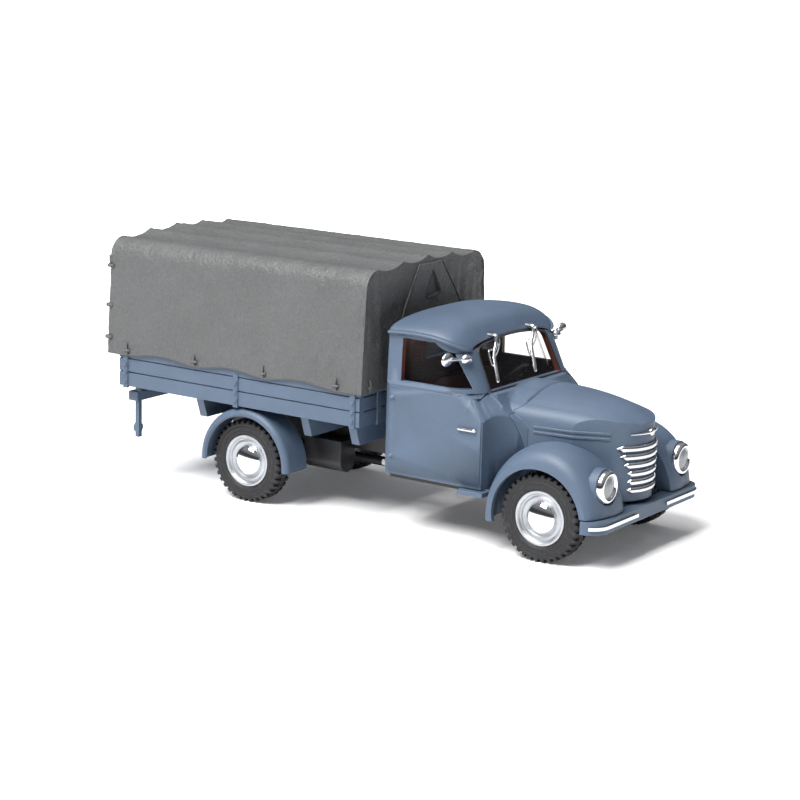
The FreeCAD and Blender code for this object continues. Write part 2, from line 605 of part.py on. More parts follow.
def make_chassis():
    """Chassis moulding: side rails with a rise behind the cab, cross members, springs and cab floor."""
    body = new_body("chassis_frame")
    rail = new_sketch(body, "YZ_Plane", "rail_outline", away="-frame_inner - frame_wall")
    kick_front = "-frame_kick_ahead"
    kick_rear = "(frame_kick_run - frame_kick_ahead)"
    seat_end = "-cab_rear_ahead - cab_seat"
    outline(rail, [
        ("-frame_front_ahead", "frame_front_low"),
        (kick_front, "frame_front_low"),
        (kick_rear, "frame_rear_low"),
        ("frame_rear_behind", "frame_rear_low"),
        ("frame_rear_behind", "bearer_low"),
        (kick_rear, "bearer_low"),
        ("-cab_rear_ahead", "cab_floor - fit"),
        (seat_end, "cab_floor - fit"),
        (seat_end, "frame_front_top"),
        ("-frame_front_ahead", "frame_front_top"),
    ])
    rails = pad(body, rail, "frame_wall")
    cross = new_sketch(body, "YZ_Plane", "cross_members")
    for low, place in (("frame_front_low", "-frame_front_ahead"),
                       ("frame_front_low", "-gearbox_ahead"),
                       ("frame_rear_low", "bearer_middle_behind + cross_wall"),
                       ("frame_rear_low", "frame_rear_behind - cross_wall")):
        box_outline(cross, place, low, "%s + cross_wall" % place, "%s + cross_height" % low)
    pad(body, cross, "2 * frame_inner + frame_wall", both_ways=True)
    spring = new_sketch(body, "YZ_Plane", "spring_outlines", away="-frame_inner - frame_wall - spring_width")
    for end in ("front", "rear"):
        place = AXLE_PLACE[end]
        drop = "spring_drop_" + end
        low = "(tyre_radius + %s - spring_thick / 2)" % drop
        high = "(tyre_radius + %s + spring_thick / 2)" % drop
        bend = "((spring_half * spring_half + %s * %s) / (2 * %s))" % (drop, drop, drop)
        outline(spring, [
            ("%s - spring_half" % place, low, bend), ("%s + spring_half" % place, low),
            ("%s + spring_half" % place, high, "-(%s + spring_thick)" % bend), ("%s - spring_half" % place, high),
        ])
    springs = pad(body, spring, "spring_width + frame_wall / 2")
    boss = new_sketch(body, "YZ_Plane", "axle_bosses", away="-frame_inner - frame_wall - spring_width")
    for end in ("front", "rear"):
        circle(boss, AXLE_PLACE[end], "tyre_radius", "hanger_radius")
    bosses = pad(body, boss, "spring_width + frame_wall")
    post = new_sketch(body, "YZ_Plane", "spring_posts", away="-frame_inner - frame_wall")
    rear = AXLE_PLACE["rear"]
    overlap = "cross_height / 2"
    for offset in ("-spring_half", "spring_half - hanger_width"):
        box_outline(post, "%s + %s" % (rear, offset), "tyre_radius + spring_drop_rear",
                    "%s + %s + hanger_width" % (rear, offset), "frame_rear_low + " + overlap)
    box_outline(post, "%s - hanger_width" % rear, "tyre_radius", "%s + hanger_width" % rear, "frame_rear_low + " + overlap)
    posts = pad(body, post, "frame_wall")
    mirror = body.newObject("PartDesign::Mirrored", "left_side")
    mirror.Originals = [rails, springs, bosses, posts]
    mirror.MirrorPlane = (origin_plane(body, "YZ_Plane"), [""])
    body.Tip = mirror
    tray = new_sketch(body, "XY_Plane", "cab_floor_tray", away="tray_low")
    box_outline(tray, "-tray_half", "-tray_front_ahead", "tray_half", "-cab_rear_ahead")
    pad(body, tray, "cab_floor - fit - tray_low")
    document.recompute()
    add_drive_line(body)
    bores = new_sketch(body, "YZ_Plane", "axle_bores")
    for end in ("front", "rear"):
        circle(bores, AXLE_PLACE[end], "tyre_radius", "axle_radius + axle_play")
    pocket(body, bores)
    keep(body, "chassis_frame")


def add_drive_line(body):
    """Gearbox, propeller shaft and rear axle casing, moulded in one with the frame."""
    case = new_sketch(body, "XZ_Plane", "gearbox_section", away="gearbox_ahead")
    wide = "gearbox_half"
    outline(case, [("-" + wide, "frame_front_low - 0.3"), ("-%s * 0.6" % wide, "gearbox_low"),
                   ("%s * 0.6" % wide, "gearbox_low"), (wide, "frame_front_low - 0.3"),
                   (wide, "frame_front_top"), ("-" + wide, "frame_front_top")])
    pad(body, case, "gearbox_length", reverse=True)
    shaft = new_sketch(body, "XZ_Plane", "shaft_section", away="gearbox_ahead - gearbox_length + 0.3")
    circle(shaft, "0", "tyre_radius - 0.2", "shaft_radius")
    pad(body, shaft, "wheelbase - front_axle_ahead + gearbox_ahead - gearbox_length - 0.6", reverse=True)
    casing = new_sketch(body, "XZ_Plane", "casing_profile", away=along(AXLE_PLACE["rear"]), up="tyre_radius")
    reach = "(frame_inner + frame_wall / 2)"
    bore = "(axle_radius + axle_play)"
    tube = "(%s + casing_wall)" % bore
    outline(casing, [("-" + reach, bore), (reach, bore), (reach, tube), ("casing_ball * 0.85", tube),
                     ("casing_ball * 0.7", "casing_ball"), ("-casing_ball * 0.7", "casing_ball"),
                     ("-casing_ball * 0.85", tube), ("-" + reach, tube)])
    turned(body, casing)


for end in ("front", "rear"):
    make_axle(end)
    for side_name, side in (("right", -1), ("left", 1)):
        make_tyre(end, side_name, side)
        make_disc(end, side_name, side)
make_chassis()


def house_section(body, name, ahead, inset, edge, shoulder, shoulder_height, crown):
    """Front view of the cab above the waist: leaning sides, a rounded shoulder and a crowned roof."""
    sketch = new_sketch(body, "XZ_Plane", name, away=ahead)
    side = "(cab_half - door_proud - %s)" % inset
    drip = "(drip_half - %s)" % inset
    shoulder = "(%s - %s)" % (shoulder, inset)
    edge = "(%s - %s / 2)" % (edge, inset)
    shoulder_height = "(%s - %s)" % (shoulder_height, inset)
    rise = "(%s - %s - %s)" % (crown, inset, shoulder_height)
    roof = dome(shoulder, rise)
    bend = "(1.2 * (%s - %s))" % (drip, shoulder)
    outline(sketch, [
        ("-" + side, "house_floor"), (side, "house_floor"), (drip, edge, bend), (shoulder, shoulder_height, roof),
        ("-" + shoulder, shoulder_height, bend), ("-" + drip, edge),
    ])
    return sketch


# Each section of the roof: distance from the rear wall, edge height, shoulder place and height, top.
ROOF_SECTIONS = (
    ("0", "drip_rear", "drip_half - 1.1", "roof_rear - 0.55", "roof_rear"),
    ("3.4", "drip_rear - 0.05", "drip_half - 1.3", "roof_crown - 0.95", "roof_crown"),
    ("5.7", "drip_rear - 0.3", "drip_half - 2", "roof_crown - 1.05", "roof_crown - 0.1"),
    ("7.6", "drip_front", "drip_half - 3", "roof_front - 0.85", "roof_front"),
    ("9.2", "drip_front - 0.9", "drip_half - 3.3", "roof_front - 1.95", "roof_front - 1.15"),
)


def add_house(body, name, inset, rail=False):
    """The cab above the waist: pillars and roof in one loft, then the raked windscreen panel."""
    sections = []
    for index, (behind, edge, shoulder, height, crown) in enumerate(ROOF_SECTIONS):
        first = inset if index == 0 else "0"
        ahead = "cab_rear_ahead + %s + %s" % (behind, first)
        sections.append(house_section(body, "%s_house_%d" % (name, index), ahead, inset, edge, "(%s)" % shoulder,
                                      "(%s)" % height, "(%s)" % crown))
    loft = body.newObject("PartDesign::AdditiveLoft", name + "_house")
    loft.Profile = sections[0]
    loft.Sections = sections[1:]
    document.recompute()
    if rail:
        add_drip_rail(body)
    front = new_sketch(body, "XY_Plane", name + "_screen_plan", away="screen_low")
    round_end = "-(screen_low_ahead - pillar_radius - %s)" % inset
    face = "-(screen_low_ahead - %s)" % inset
    flat = "(screen_flat - %s)" % inset
    side = "(screen_flat + pillar_radius - %s)" % inset
    far = "-2 * screen_low_ahead"
    outline(front, [
        ("-" + side, round_end, "pillar_radius"), ("-" + flat, face), (flat, face, "pillar_radius"),
        (side, round_end), ("2 * cab_half", round_end), ("2 * cab_half", far), ("-2 * cab_half", far),
        ("-2 * cab_half", round_end),
    ])
    cut = pocket(body, front, "roof_crown")
    cut.UseCustomVector = True
    cut.Direction = FreeCAD.Vector(0, number("screen_rake"), 1)
    cut.setExpression("Direction.y", bound("screen_rake"))
    document.recompute()


def trim_shoulders(body, name, lower):
    """Takes off the upper corners of the body side, which fall from the door window to the cowl."""
    corners = new_sketch(body, "XZ_Plane", name, away="shoulder_ahead")
    for side in (-1, 1):
        outer = "%d * (cab_half + 1)" % side
        inner = "%d * shoulder_inner" % side
        outline(corners, [
            (outer, "shoulder_low - %s" % lower), (inner, "shoulder_high - %s" % lower),
            (inner, "2 * waist"), (outer, "2 * waist"),
        ])
    cut = pocket(body, corners, "cowl_foot_ahead - shoulder_ahead")
    cut.UseCustomVector = True
    cut.Direction = FreeCAD.Vector(0, -1, -number("shoulder_fall"))
    cut.setExpression("Direction.z", bound("-shoulder_fall"))
    document.recompute()


def add_drip_rail(body):
    """Thin rail along the roof edge, which bends down to the window pillar in front."""
    rail = new_sketch(body, "YZ_Plane", "drip_rail")
    rear = "-cab_rear_ahead"
    bend = "-(window_bend_ahead)"
    front = "-rail_front_ahead"
    outline(rail, [
        (rear, "drip_rear"), (rear, "drip_rear + rail_height"),
        (bend, "drip_rear + rail_height - 0.15", "-12"), (front, "rail_front"),
        (front, "rail_front - rail_height", "12"), (bend, "drip_rear - 0.15"),
    ])
    pad(body, rail, "2 * (drip_half + rail_proud)", both_ways=True)
    plan = new_sketch(body, "XY_Plane", "drip_rail_plan", away="rail_front - 2 * rail_height")
    for side in (-1, 1):
        edge = "%d * (drip_half + rail_proud)" % side
        end = "%d * rail_front_half" % side
        outer = "%d * 2 * cab_half" % side
        outline(plan, [
            (edge, "0"), (edge, "-rail_turn_ahead", "%d * -rail_turn" % side), (end, front),
            (end, "2 * %s" % front), (outer, "2 * %s" % front), (outer, "0"),
        ])
    pocket(body, plan, "roof_crown", reverse=True)
    document.recompute()


def make_form():
    """Outer form of cab and bonnet in one, which the joint between them cuts in two afterwards."""
    body = new_body("cab_and_bonnet_form")
    side = "(cab_half - door_proud)"
    plan = new_sketch(body, "XY_Plane", "cab_plan", away="cab_floor")
    rear = "-cab_rear_ahead"
    corner = "-door_front_ahead"
    foot = "-cowl_foot_ahead"
    outline(plan, [
        ("-" + side, rear), (side, rear), (side, corner, "cowl_sweep"), ("bonnet_half", foot),
        ("-bonnet_half", foot, "cowl_sweep"), ("-" + side, corner),
    ])
    pad(body, plan, "waist - cab_floor")
    panel = new_sketch(body, "YZ_Plane", "door_panels")
    box_outline(panel, "-door_front_ahead + 0.1", "cab_floor + door_margin",
                "-(cab_rear_ahead + door_margin)", "door_top")
    pad(body, panel, "2 * cab_half", both_ways=True)
    hinges = new_sketch(body, "YZ_Plane", "door_hinges")
    for height in ("hinge_low", "hinge_high"):
        near = "-(cab_rear_ahead + hinge_rear_gap)"
        box_outline(hinges, "%s - hinge_size" % near, "%s - hinge_size / 2" % height,
                    near, "%s + hinge_size / 2" % height)
    pad(body, hinges, "2 * (cab_half + door_proud / 2)", both_ways=True)
    fall = new_sketch(body, "YZ_Plane", "cowl_fall_outline")
    outline(fall, [
        ("-waist_front_ahead", "waist"), ("-cowl_break_ahead", "cowl_break_top", "-cowl_fall"),
        (foot, "cowl_foot_top"), ("-2 * cowl_foot_ahead", "cowl_foot_top"),
        ("-2 * cowl_foot_ahead", "waist + 1"), ("-waist_front_ahead", "waist + 1"),
    ])
    pocket(body, fall)
    trim_shoulders(body, "outer_shoulders", "0")
    add_house(body, "outside", "0", rail=True)
    add_bonnet(body)
    return body


def bonnet_section(body, name, ahead, fall, drop):
    """Front view of the bonnet: upright sides, rounded shoulders, a lid and its raised spine."""
    sketch = new_sketch(body, "XZ_Plane", name, away=ahead)
    half = "(bonnet_half - bonnet_taper * (%s - bonnet_joint_ahead))" % ahead if drop else "bonnet_half"
    lid = "(lid_low - %s)" % drop if drop else "lid_low"
    crest = "(bonnet_crest - %s)" % fall
    inner = "(%s - lid_run)" % half
    eaves = "(%s + (%s - %s) * 0.55)" % (lid, crest, lid)
    hump = "(hump_half * %s / bonnet_half - %s / 3)" % (half, fall)
    rise = "(hump_rise * %s / hump_half)" % hump
    root = "(%s - %s)" % (crest, rise)
    outline(sketch, [
        ("-" + half, "nose_low"), (half, "nose_low"), (half, lid, "lid_rise"), (inner, eaves, "lid_curve"),
        (hump, root, dome(hump, rise)), ("-" + hump, root, "lid_curve"), ("-" + inner, eaves, "lid_rise"),
        ("-" + half, lid),
    ])
    return sketch


def add_bonnet(body):
    """Bonnet loft from the windscreen to the tip, cut to the round plan of the nose, with its beads."""
    sections = [
        bonnet_section(body, "bonnet_rear", "bonnet_rear_ahead", "0", ""),
        bonnet_section(body, "bonnet_joint", "bonnet_joint_ahead", "0.03", ""),
        bonnet_section(body, "bonnet_middle", "bonnet_middle_ahead", "0.36", "0.02"),
        bonnet_section(body, "bonnet_front", "bonnet_front_ahead", "1.25", "0.05"),
        bonnet_section(body, "bonnet_tip", "bonnet_tip_ahead", "2.6", "0.6"),
    ]
    loft = body.newObject("PartDesign::AdditiveLoft", "bonnet_loft")
    loft.Profile = sections[0]
    loft.Sections = sections[1:]
    document.recompute()
    plan = new_sketch(body, "XY_Plane", "nose_plan")
    reach = "(nose_radius * sin(nose_sweep))"
    start = "-(nose_ahead - nose_radius + nose_radius * cos(nose_sweep))"
    wide = "(2 * bonnet_half)"
    half = "(bonnet_half - bonnet_taper * (bonnet_middle_ahead - bonnet_joint_ahead))"
    back = "-bonnet_middle_ahead"
    far = "-(nose_ahead + 3)"
    outline(plan, [
        ("-" + reach, start, "nose_radius"), (reach, start), (half, back), (wide, back),
        (wide, far), ("-" + wide, far), ("-" + wide, back), ("-" + half, back),
    ])
    pocket(body, plan)
    document.recompute()


def wing_section(body, name, side, turn, crown, inner, room):
    """Section of a front wing on a plane turned about the wing's own centre.

    The shell runs down to its inner valance and to the turned edge of the arch. For the room that
    the cab and the bonnet leave to the wing, the section is solid and grown by the joint.
    """
    sketch = new_sketch(body, "XZ_Plane", name, away="front_axle_ahead - wing_shift", up="tyre_radius", tilt=turn)
    grow = "fit" if room else "0"
    near = "%d * (wing_inner - %s)" % (side, grow)
    outer = "%d * (wing_outer + %s)" % (side, grow)
    shoulder = "%d * (wing_shoulder + %s)" % (side, grow)
    crown_place = "%d * wing_crown" % side
    slope = "(%s - wing_slope + %s)" % (crown, grow)
    over = [
        (near, "%s + %s" % (inner, grow), "%d * -5.6" % side),
        (crown_place, "%s + %s" % (crown, grow), "%d * -4.2" % side),
        (shoulder, slope, "%d * -1.4" % side),
        (outer, "wing_lip"),
    ]
    if room:
        corners = over + [(outer, "wing_core"), (near, "wing_core")]
    else:
        under = "%d * wing_wall" % side
        corners = over + [
            (outer, "arch_radius"),
            ("%s - %s" % (outer, under), "arch_radius"),
            ("%s - %s" % (outer, under), "wing_lip"),
            ("%s - %s" % (shoulder, under), "%s - wing_wall" % slope),
            (crown_place, "%s - wing_wall" % crown),
            ("%s + %s" % (near, under), "%s - wing_wall" % inner),
            ("%s + %s" % (near, under), "arch_radius"),
            (near, "arch_radius"),
        ]
    outline(sketch, corners)
    return sketch


# Each wing section: angle from the top, forwards positive, and the radii at crown and inner edge.
WING_SECTIONS = (
    ("-104", "wing_rise - 0.4", "wing_inner_rise - 0.15"),
    ("-70", "wing_rise - 0.62", "wing_inner_rise - 0.15"),
    ("-35", "wing_rise - 0.35", "wing_inner_rise"),
    ("0", "wing_rise", "wing_inner_rise + 0.05"),
    ("30", "wing_rise", "wing_inner_rise + 0.3"),
    ("60", "wing_rise - 0.27", "wing_inner_rise + 0.3"),
    ("88", "wing_rise - 0.45", "wing_inner_rise + 0.25"),
)


def wing_loft(body, label, side, room):
    sections = []
    for index, (turn, crown, inner) in enumerate(WING_SECTIONS):
        sections.append(wing_section(body, "%s_section_%d" % (label, index), side, turn, "(%s)" % crown,
                                     "(%s)" % inner, room))
    loft = body.newObject("PartDesign::AdditiveLoft", label + "_loft")
    loft.Profile = sections[0]
    loft.Sections = sections[1:]
    document.recompute()


def make_wing(side_name, side):
    """Front wing: a lofted shell with a turned arch edge, the lamp seat and the door step."""
    label = "wing_" + side_name
    body = new_body(label)
    wing_loft(body, label, side, False)
    under = new_sketch(body, "YZ_Plane", label + "_under")
    far = "-2 * front_axle_ahead"
    middle = "-front_axle_ahead"
    outline(under, [
        (far, "-wing_foot"), ("0", "-wing_foot"), ("0", "wing_foot"),
        (middle, "wing_foot"), (middle, "wing_nose_low"), (far, "wing_nose_low"),
    ])
    pocket(body, under)
    boss = new_sketch(body, "XZ_Plane", label + "_lamp_boss", away="lamp_ahead")
    circle(boss, "%d * lamp_side" % side, "lamp_height", "lamp_radius + lamp_boss_wall")
    pad(body, boss, "lamp_boss_depth", reverse=True)
    seat = new_sketch(body, "XZ_Plane", label + "_lamp_seat", away="lamp_ahead")
    circle(seat, "%d * lamp_side" % side, "lamp_height", "lamp_radius + fit")
    pocket(body, seat, "2 * lamp_radius", reverse=True)
    step = new_sketch(body, "XY_Plane", label + "_step", away="step_top - step_thick")
    foot = "-(front_axle_ahead - wing_shift - wing_rise + 2 * wing_wall)"
    box_outline(step, "%d * step_inner" % side, foot, "%d * step_outer" % side, "-step_rear_ahead")
    pad(body, step, "step_thick")
    keep(body, label)


def wing_rooms():
    """Both spaces that the wings take out of the cab and the bonnet, down to the wheel centre."""
    rooms = []
    for side_name, side in SIDES:
        label = "wing_room_" + side_name
        body = new_body(label)
        wing_loft(body, label, side, True)
        core = new_sketch(body, "YZ_Plane", label + "_core", away="%d * (wing_inner - fit)" % side)
        circle(core, "-(front_axle_ahead - wing_shift)", "tyre_radius", "1.5 * wing_core")
        pad(body, core, "wing_outer - wing_inner + 2 * fit", reverse=(side < 0))
        rooms.append(body)
    return rooms


def make_hollow():
    """Inside of the cab shell, from below the floor up to the roof."""
    body = new_body("cab_hollow")
    plan = new_sketch(body, "XY_Plane", "hollow_plan", away="cab_floor - 1")
    half = "(cab_half - door_proud - cab_wall)"
    box_outline(plan, "-" + half, "-(waist_front_ahead + cab_wall)", half, "-(cab_rear_ahead + cab_wall)")
    pad(body, plan, "house_floor + 0.1 - cab_floor + 1")
    trim_shoulders(body, "inner_shoulders", "shoulder_wall")
    add_house(body, "inside", "cab_wall")
    return body


def window_tools():
    """The windscreen, the two door windows and the rear window as cutting shapes."""
    doors = new_body("door_window_tool")
    pane = new_sketch(doors, "YZ_Plane", "door_window_outline")
    outline(pane, [
        ("-window_front_ahead", "window_sill"), ("-window_rear_ahead", "window_sill"),
        ("-window_rear_ahead", "window_head"), ("-window_bend_ahead", "window_head", "-window_bend"),
        ("-window_corner_ahead", "window_corner_top"),
    ])
    pad(doors, pane, "4 * cab_half", both_ways=True)
    screen = new_body("windscreen_tool")
    pane = new_sketch(screen, "XZ_Plane", "windscreen_outline", away="screen_low_ahead + 0.1")
    head = "(screen_half_high - screen_round)"
    outline(pane, [
        ("-screen_half_low", "screen_sill"), ("screen_half_low", "screen_sill"),
        ("screen_half_high", "screen_corner - screen_round", "screen_round"), (head, "screen_corner", "screen_bow"),
        ("-" + head, "screen_corner", "screen_round"), ("-screen_half_high", "screen_corner - screen_round"),
    ])
    pad(screen, pane, "4", reverse=True)
    rear = new_body("rear_window_tool")
    pane = new_sketch(rear, "XZ_Plane", "rear_window_outline", away="cab_rear_ahead - 1")
    box_outline(pane, "-back_window_half", "back_window_low", "back_window_half", "back_window_high")
    pad(rear, pane, "2 * cab_wall + 1")
    return [doors, screen, rear]


def joint_tool(name, play):
    """Everything ahead of the curved joint between cab and bonnet, drawn back by a play."""
    body = new_body(name)
    side = new_sketch(body, "YZ_Plane", name + "_outline")
    far = "-(nose_ahead + 3)"
    outline(side, [
        ("-(joint_low_ahead - %s)" % play, "0"), ("-(joint_low_ahead - %s)" % play, "joint_low", "-12"),
        ("-(joint_bend_ahead - %s)" % play, "joint_bend", "-1.6"), ("-(joint_top_ahead - %s)" % play, "joint_top"),
        ("-(joint_top_ahead - %s)" % play, "2 * waist"), (far, "2 * waist"), (far, "0"),
    ])
    pad(body, side, "4 * bonnet_half", both_ways=True)
    return body


def make_cab_and_bonnet():
    """Cab shell and bonnet share one outer form, so their surfaces run on across the joint."""
    form = cut_from("form_between_wings", make_form(), wing_rooms())
    shell = cut_from("cab_walls", form, [joint_tool("cab_joint", "fit"), make_hollow()])
    keep(cut_from("cab_shell", shell, window_tools()), "cab_shell")
    bonnet = document.addObject("Part::Common", "bonnet_block")
    bonnet.Base = form
    bonnet.Tool = joint_tool("bonnet_joint_tool", "0")
    beads = make_beads()
    together = document.addObject("Part::Fuse", "bonnet_with_beads")
    together.Base = bonnet
    together.Tool = beads
    document.recompute()
    keep(together, "bonnet")


def make_beads():
    """Two beads along each bonnet side below the lid, following its plan into the nose."""
    body = new_body("bonnet_beads")
    for row in range(2):
        ring = new_sketch(body, "XY_Plane", "bead_%d" % row, away="bead_low + %d * bead_pitch" % row)
        for side in (-1, 1):
            half = "(bonnet_half - bonnet_taper * (%s - bonnet_joint_ahead))"
            start = half % "bead_start_ahead"
            middle = half % "bonnet_middle_ahead"
            reach = "(nose_radius * sin(nose_sweep))"
            nose = "-(nose_ahead - nose_radius + nose_radius * cos(nose_sweep))"
            outline(ring, [
                ("%d * (%s - bead_proud)" % (side, start), "-bead_start_ahead"),
                ("%d * (%s + bead_proud)" % (side, start), "-bead_start_ahead"),
                ("%d * (%s + bead_proud)" % (side, middle), "-bonnet_middle_ahead"),
                ("%d * (%s + bead_proud)" % (side, reach), nose),
                ("%d * (%s - bead_proud)" % (side, reach), nose),
                ("%d * (%s - bead_proud)" % (side, middle), "-bonnet_middle_ahead"),
            ])
        pad(body, ring, "bead_height")
    return body


def make_glazing():
    """Clear insert that lines the cab behind its windows, as one ring of clear plastic."""
    outer = new_body("glazing_outside")
    add_house(outer, "glazing_out", "(cab_wall + fit)")
    inner = new_body("glazing_hollow")
    add_house(inner, "glazing_in", "(cab_wall + fit + glass)")
    below = document.addObject("Part::Box", "glazing_below")
    above = document.addObject("Part::Box", "glazing_above")
    for box, low, high in ((below, "0", "screen_sill - glass_lap"), (above, "window_head + glass_lap", "2 * waist")):
        box.setExpression("Length", bound("4 * cab_half"))
        box.setExpression("Width", bound("4 * cab_half"))
        box.setExpression("Height", bound("%s - %s" % (high, low)))
        box.setExpression("Placement.Base.x", bound("-2 * cab_half"))
        box.setExpression("Placement.Base.y", bound("-4 * cab_half"))
        box.setExpression("Placement.Base.z", bound(low))
    keep(cut_from("cab_glazing", outer, [inner, below, above]), "cab_glazing")


def make_bumper():
    """Bumper: a plank with rounded corners and a channel behind, and its two bright strips."""
    body = new_body("front_bumper")
    inner_y = "-(bumper_ahead - bumper_depth)"
    plan = new_sketch(body, "XY_Plane", "bumper_plan", away="bumper_low")
    corner_y = "-(bumper_ahead - bumper_corner)"
    flat = "(bumper_half - bumper_corner)"
    outline(plan, [
        ("-bumper_half", corner_y, "bumper_corner"), ("-" + flat, "-bumper_ahead"),
        (flat, "-bumper_ahead", "bumper_corner"), ("bumper_half", corner_y),
        ("bumper_half - bumper_wall", corner_y), (flat, inner_y),
        ("-" + flat, inner_y), ("-(bumper_half - bumper_wall)", corner_y),
    ])
    pad(body, plan, "bumper_top - bumper_low")
    under = new_sketch(body, "XY_Plane", "bumper_channel", away="bumper_low")
    inside = "-(bumper_ahead - bumper_wall)"
    box_outline(under, "-" + flat, inside, flat, "%s + bumper_depth" % inside)
    pocket(body, under, "bumper_top - bumper_low - bumper_wall", reverse=True)
    keep(body, "front_bumper")
    for side_name, side in SIDES:
        label = "bumper_strip_" + side_name
        strip = new_body(label)
        ring = new_sketch(strip, "XY_Plane", label + "_plan", away="strip_low")
        turn = "asin(strip_wrap)"
        centre_x = "(bumper_half - bumper_corner)"
        centre_y = "-(bumper_ahead - bumper_corner)"
        near = "(bumper_corner + fit)"
        far = "(bumper_corner + fit + strip_proud)"
        outline(ring, [
            ("%d * strip_inner" % side, "-(bumper_ahead + fit)"),
            ("%d * strip_inner" % side, "-(bumper_ahead + fit + strip_proud)"),
            ("%d * %s" % (side, centre_x), "-(bumper_ahead + fit + strip_proud)", "%d * %s" % (side, far)),
            ("%d * (%s + %s * sin(%s))" % (side, centre_x, far, turn), "%s - %s * cos(%s)" % (centre_y, far, turn)),
            ("%d * (%s + %s * sin(%s))" % (side, centre_x, near, turn), "%s - %s * cos(%s)" % (centre_y, near, turn),
             "%d * -%s" % (side, near)),
            ("%d * %s" % (side, centre_x), "-(bumper_ahead + fit)"),
        ])
        pad(strip, ring, "strip_height")
        keep(strip, label)


def make_lamp(side_name, side):
    """Headlamp: a bright turned rim with a closed floor, and a domed lens held in it."""
    body = new_body("headlamp_rim_" + side_name)
    profile = lamp_sketch(body, "rim_profile_" + side_name, side)
    seat = "-lamp_ahead"
    face = "-(lamp_ahead + rim_depth)"
    outline(profile, [
        ("0", seat), ("lamp_radius", seat), ("lamp_radius", "%s - rim_depth * 0.45" % seat, "-0.42"),
        ("lens_radius + 0.16", face), ("lens_radius", face), ("lens_radius", "%s - lens_seat" % seat),
        ("0", "%s - lens_seat" % seat),
    ])
    turned(body, profile, axis="V_Axis")
    keep(body, "headlamp_rim_" + side_name)
    body = new_body("headlamp_lens_" + side_name)
    profile = lamp_sketch(body, "lens_profile_" + side_name, side)
    back = "%s - lens_seat - fit / 2" % seat
    edge = "(lens_radius - fit / 2)"
    outline(profile, [
        ("0", back), (edge, back), (edge, "%s + lens_bulge" % face, "-" + dome(edge, "lens_bulge")), ("0", face),
    ])
    turned(body, profile, axis="V_Axis")
    keep(body, "headlamp_lens_" + side_name)


def lamp_sketch(body, name, side):
    sketch = new_sketch(body, "XY_Plane", name, away="lamp_height")
    sketch.setExpression("AttachmentOffset.Base.x", bound("%d * lamp_side" % side))
    return sketch


def make_grille():
    """Six bright bars that wrap the nose, each shorter than the one above, and the spear on top."""
    bars = []
    for index in range(int(number("bar_count"))):
        sweep = "2 * (bar_sweep - bar_sweep_drop * %d)" % min(index, int(number("bar_last_full")))
        height = "bar_top - bar_pitch * %d" % index
        bars.append(nose_ring("grille_bar_%d" % index, height, "bar_half", sweep))
    together = document.addObject("Part::MultiFuse", "bars_together")
    together.Shapes = bars
    document.recompute()
    keep(together, "grille_bars")
    spear = nose_ring("nose_spear", "trim_height", "trim_half", "2 * trim_sweep")
    badge = document.addObject("Part::Cylinder", "spear_badge")
    badge.Placement.Rotation = FreeCAD.Rotation(FreeCAD.Vector(1, 0, 0), 90)
    badge.setExpression("Radius", bound("trim_badge"))
    badge.setExpression("Height", bound("trim_badge"))
    badge.setExpression("Placement.Base.y", bound("-(nose_ahead + fit)"))
    badge.setExpression("Placement.Base.z", bound("trim_height"))
    trim = document.addObject("Part::Fuse", "spear_with_badge")
    trim.Base = spear
    trim.Tool = badge
    document.recompute()
    keep(trim, "nose_trim")


def nose_ring(name, height, half, sweep):
    """Part of a ring round the nose, with its outer edges taken off."""
    body = new_body(name)
    section = new_sketch(body, "XZ_Plane", name + "_section")
    inner = "(nose_radius + fit)"
    outline(section, [
        (inner, "%s - %s" % (height, half)), ("%s + %s / 2" % (inner, half), "%s - %s" % (height, half)),
        ("%s + %s" % (inner, half), "%s - %s / 3" % (height, half)),
        ("%s + %s" % (inner, half), "%s + %s / 3" % (height, half)),
        ("%s + %s / 2" % (inner, half), "%s + %s" % (height, half)), (inner, "%s + %s" % (height, half)),
    ])
    ring = turned(body, section, axis="V_Axis")
    ring.setExpression("Angle", bound(sweep))
    body.setExpression("Placement.Rotation.Angle", bound("-90 - (%s) / 2" % sweep))
    body.setExpression("Placement.Base.y", bound("-(nose_ahead - nose_radius)"))
    return body


def make_bed_side(side_name, side):
    """Bed side: three grooved boards with posts and studs on the outside."""
    label = "bed_side_" + side_name
    body = new_body(label)
    board = new_sketch(body, "YZ_Plane", label + "_board", away="%d * (bed_half - board_wall / 2)" % side)
    box_outline(board, "-bed_front_ahead", "bed_low", "bed_rear_behind", "bed_high")
    pad(body, board, "board_wall", both_ways=True)
    groove = new_sketch(body, "YZ_Plane", label + "_grooves", away="%d * bed_half" % side)
    for row in (1, 2):
        height = "bed_low + %d * plank_height" % row
        box_outline(groove, "-2 * bed_front_ahead", height, "bed_rear_behind + groove", "%s + groove" % height)
    pocket(body, groove, "2 * groove", both_ways=True)
    posts = new_sketch(body, "YZ_Plane", label + "_posts", away="%d * (bed_half - post_root)" % side)
    for place in POST_PLACES:
        box_outline(posts, "%s - post_width / 2" % place, "bed_low - post_drop", "%s + post_width / 2" % place,
                    "tilt_hem - fit")
    pad(body, posts, "post_root + post_proud", reverse=(side < 0))
    studs = new_sketch(body, "YZ_Plane", label + "_studs", away="%d * (bed_half - post_root)" % side)
    for place in POST_PLACES:
        for row in range(3):
            circle(studs, place, "bed_low + stud_low + %d * stud_pitch" % row, "stud_radius")
    pad(body, studs, "post_root + 2 * post_proud", reverse=(side < 0))
    keep(body, label)


POST_PLACES = ("-bed_front_ahead + post_front", "post_middle_behind", "bed_rear_behind - post_rear")
SIDES = (("right", -1), ("left", 1))


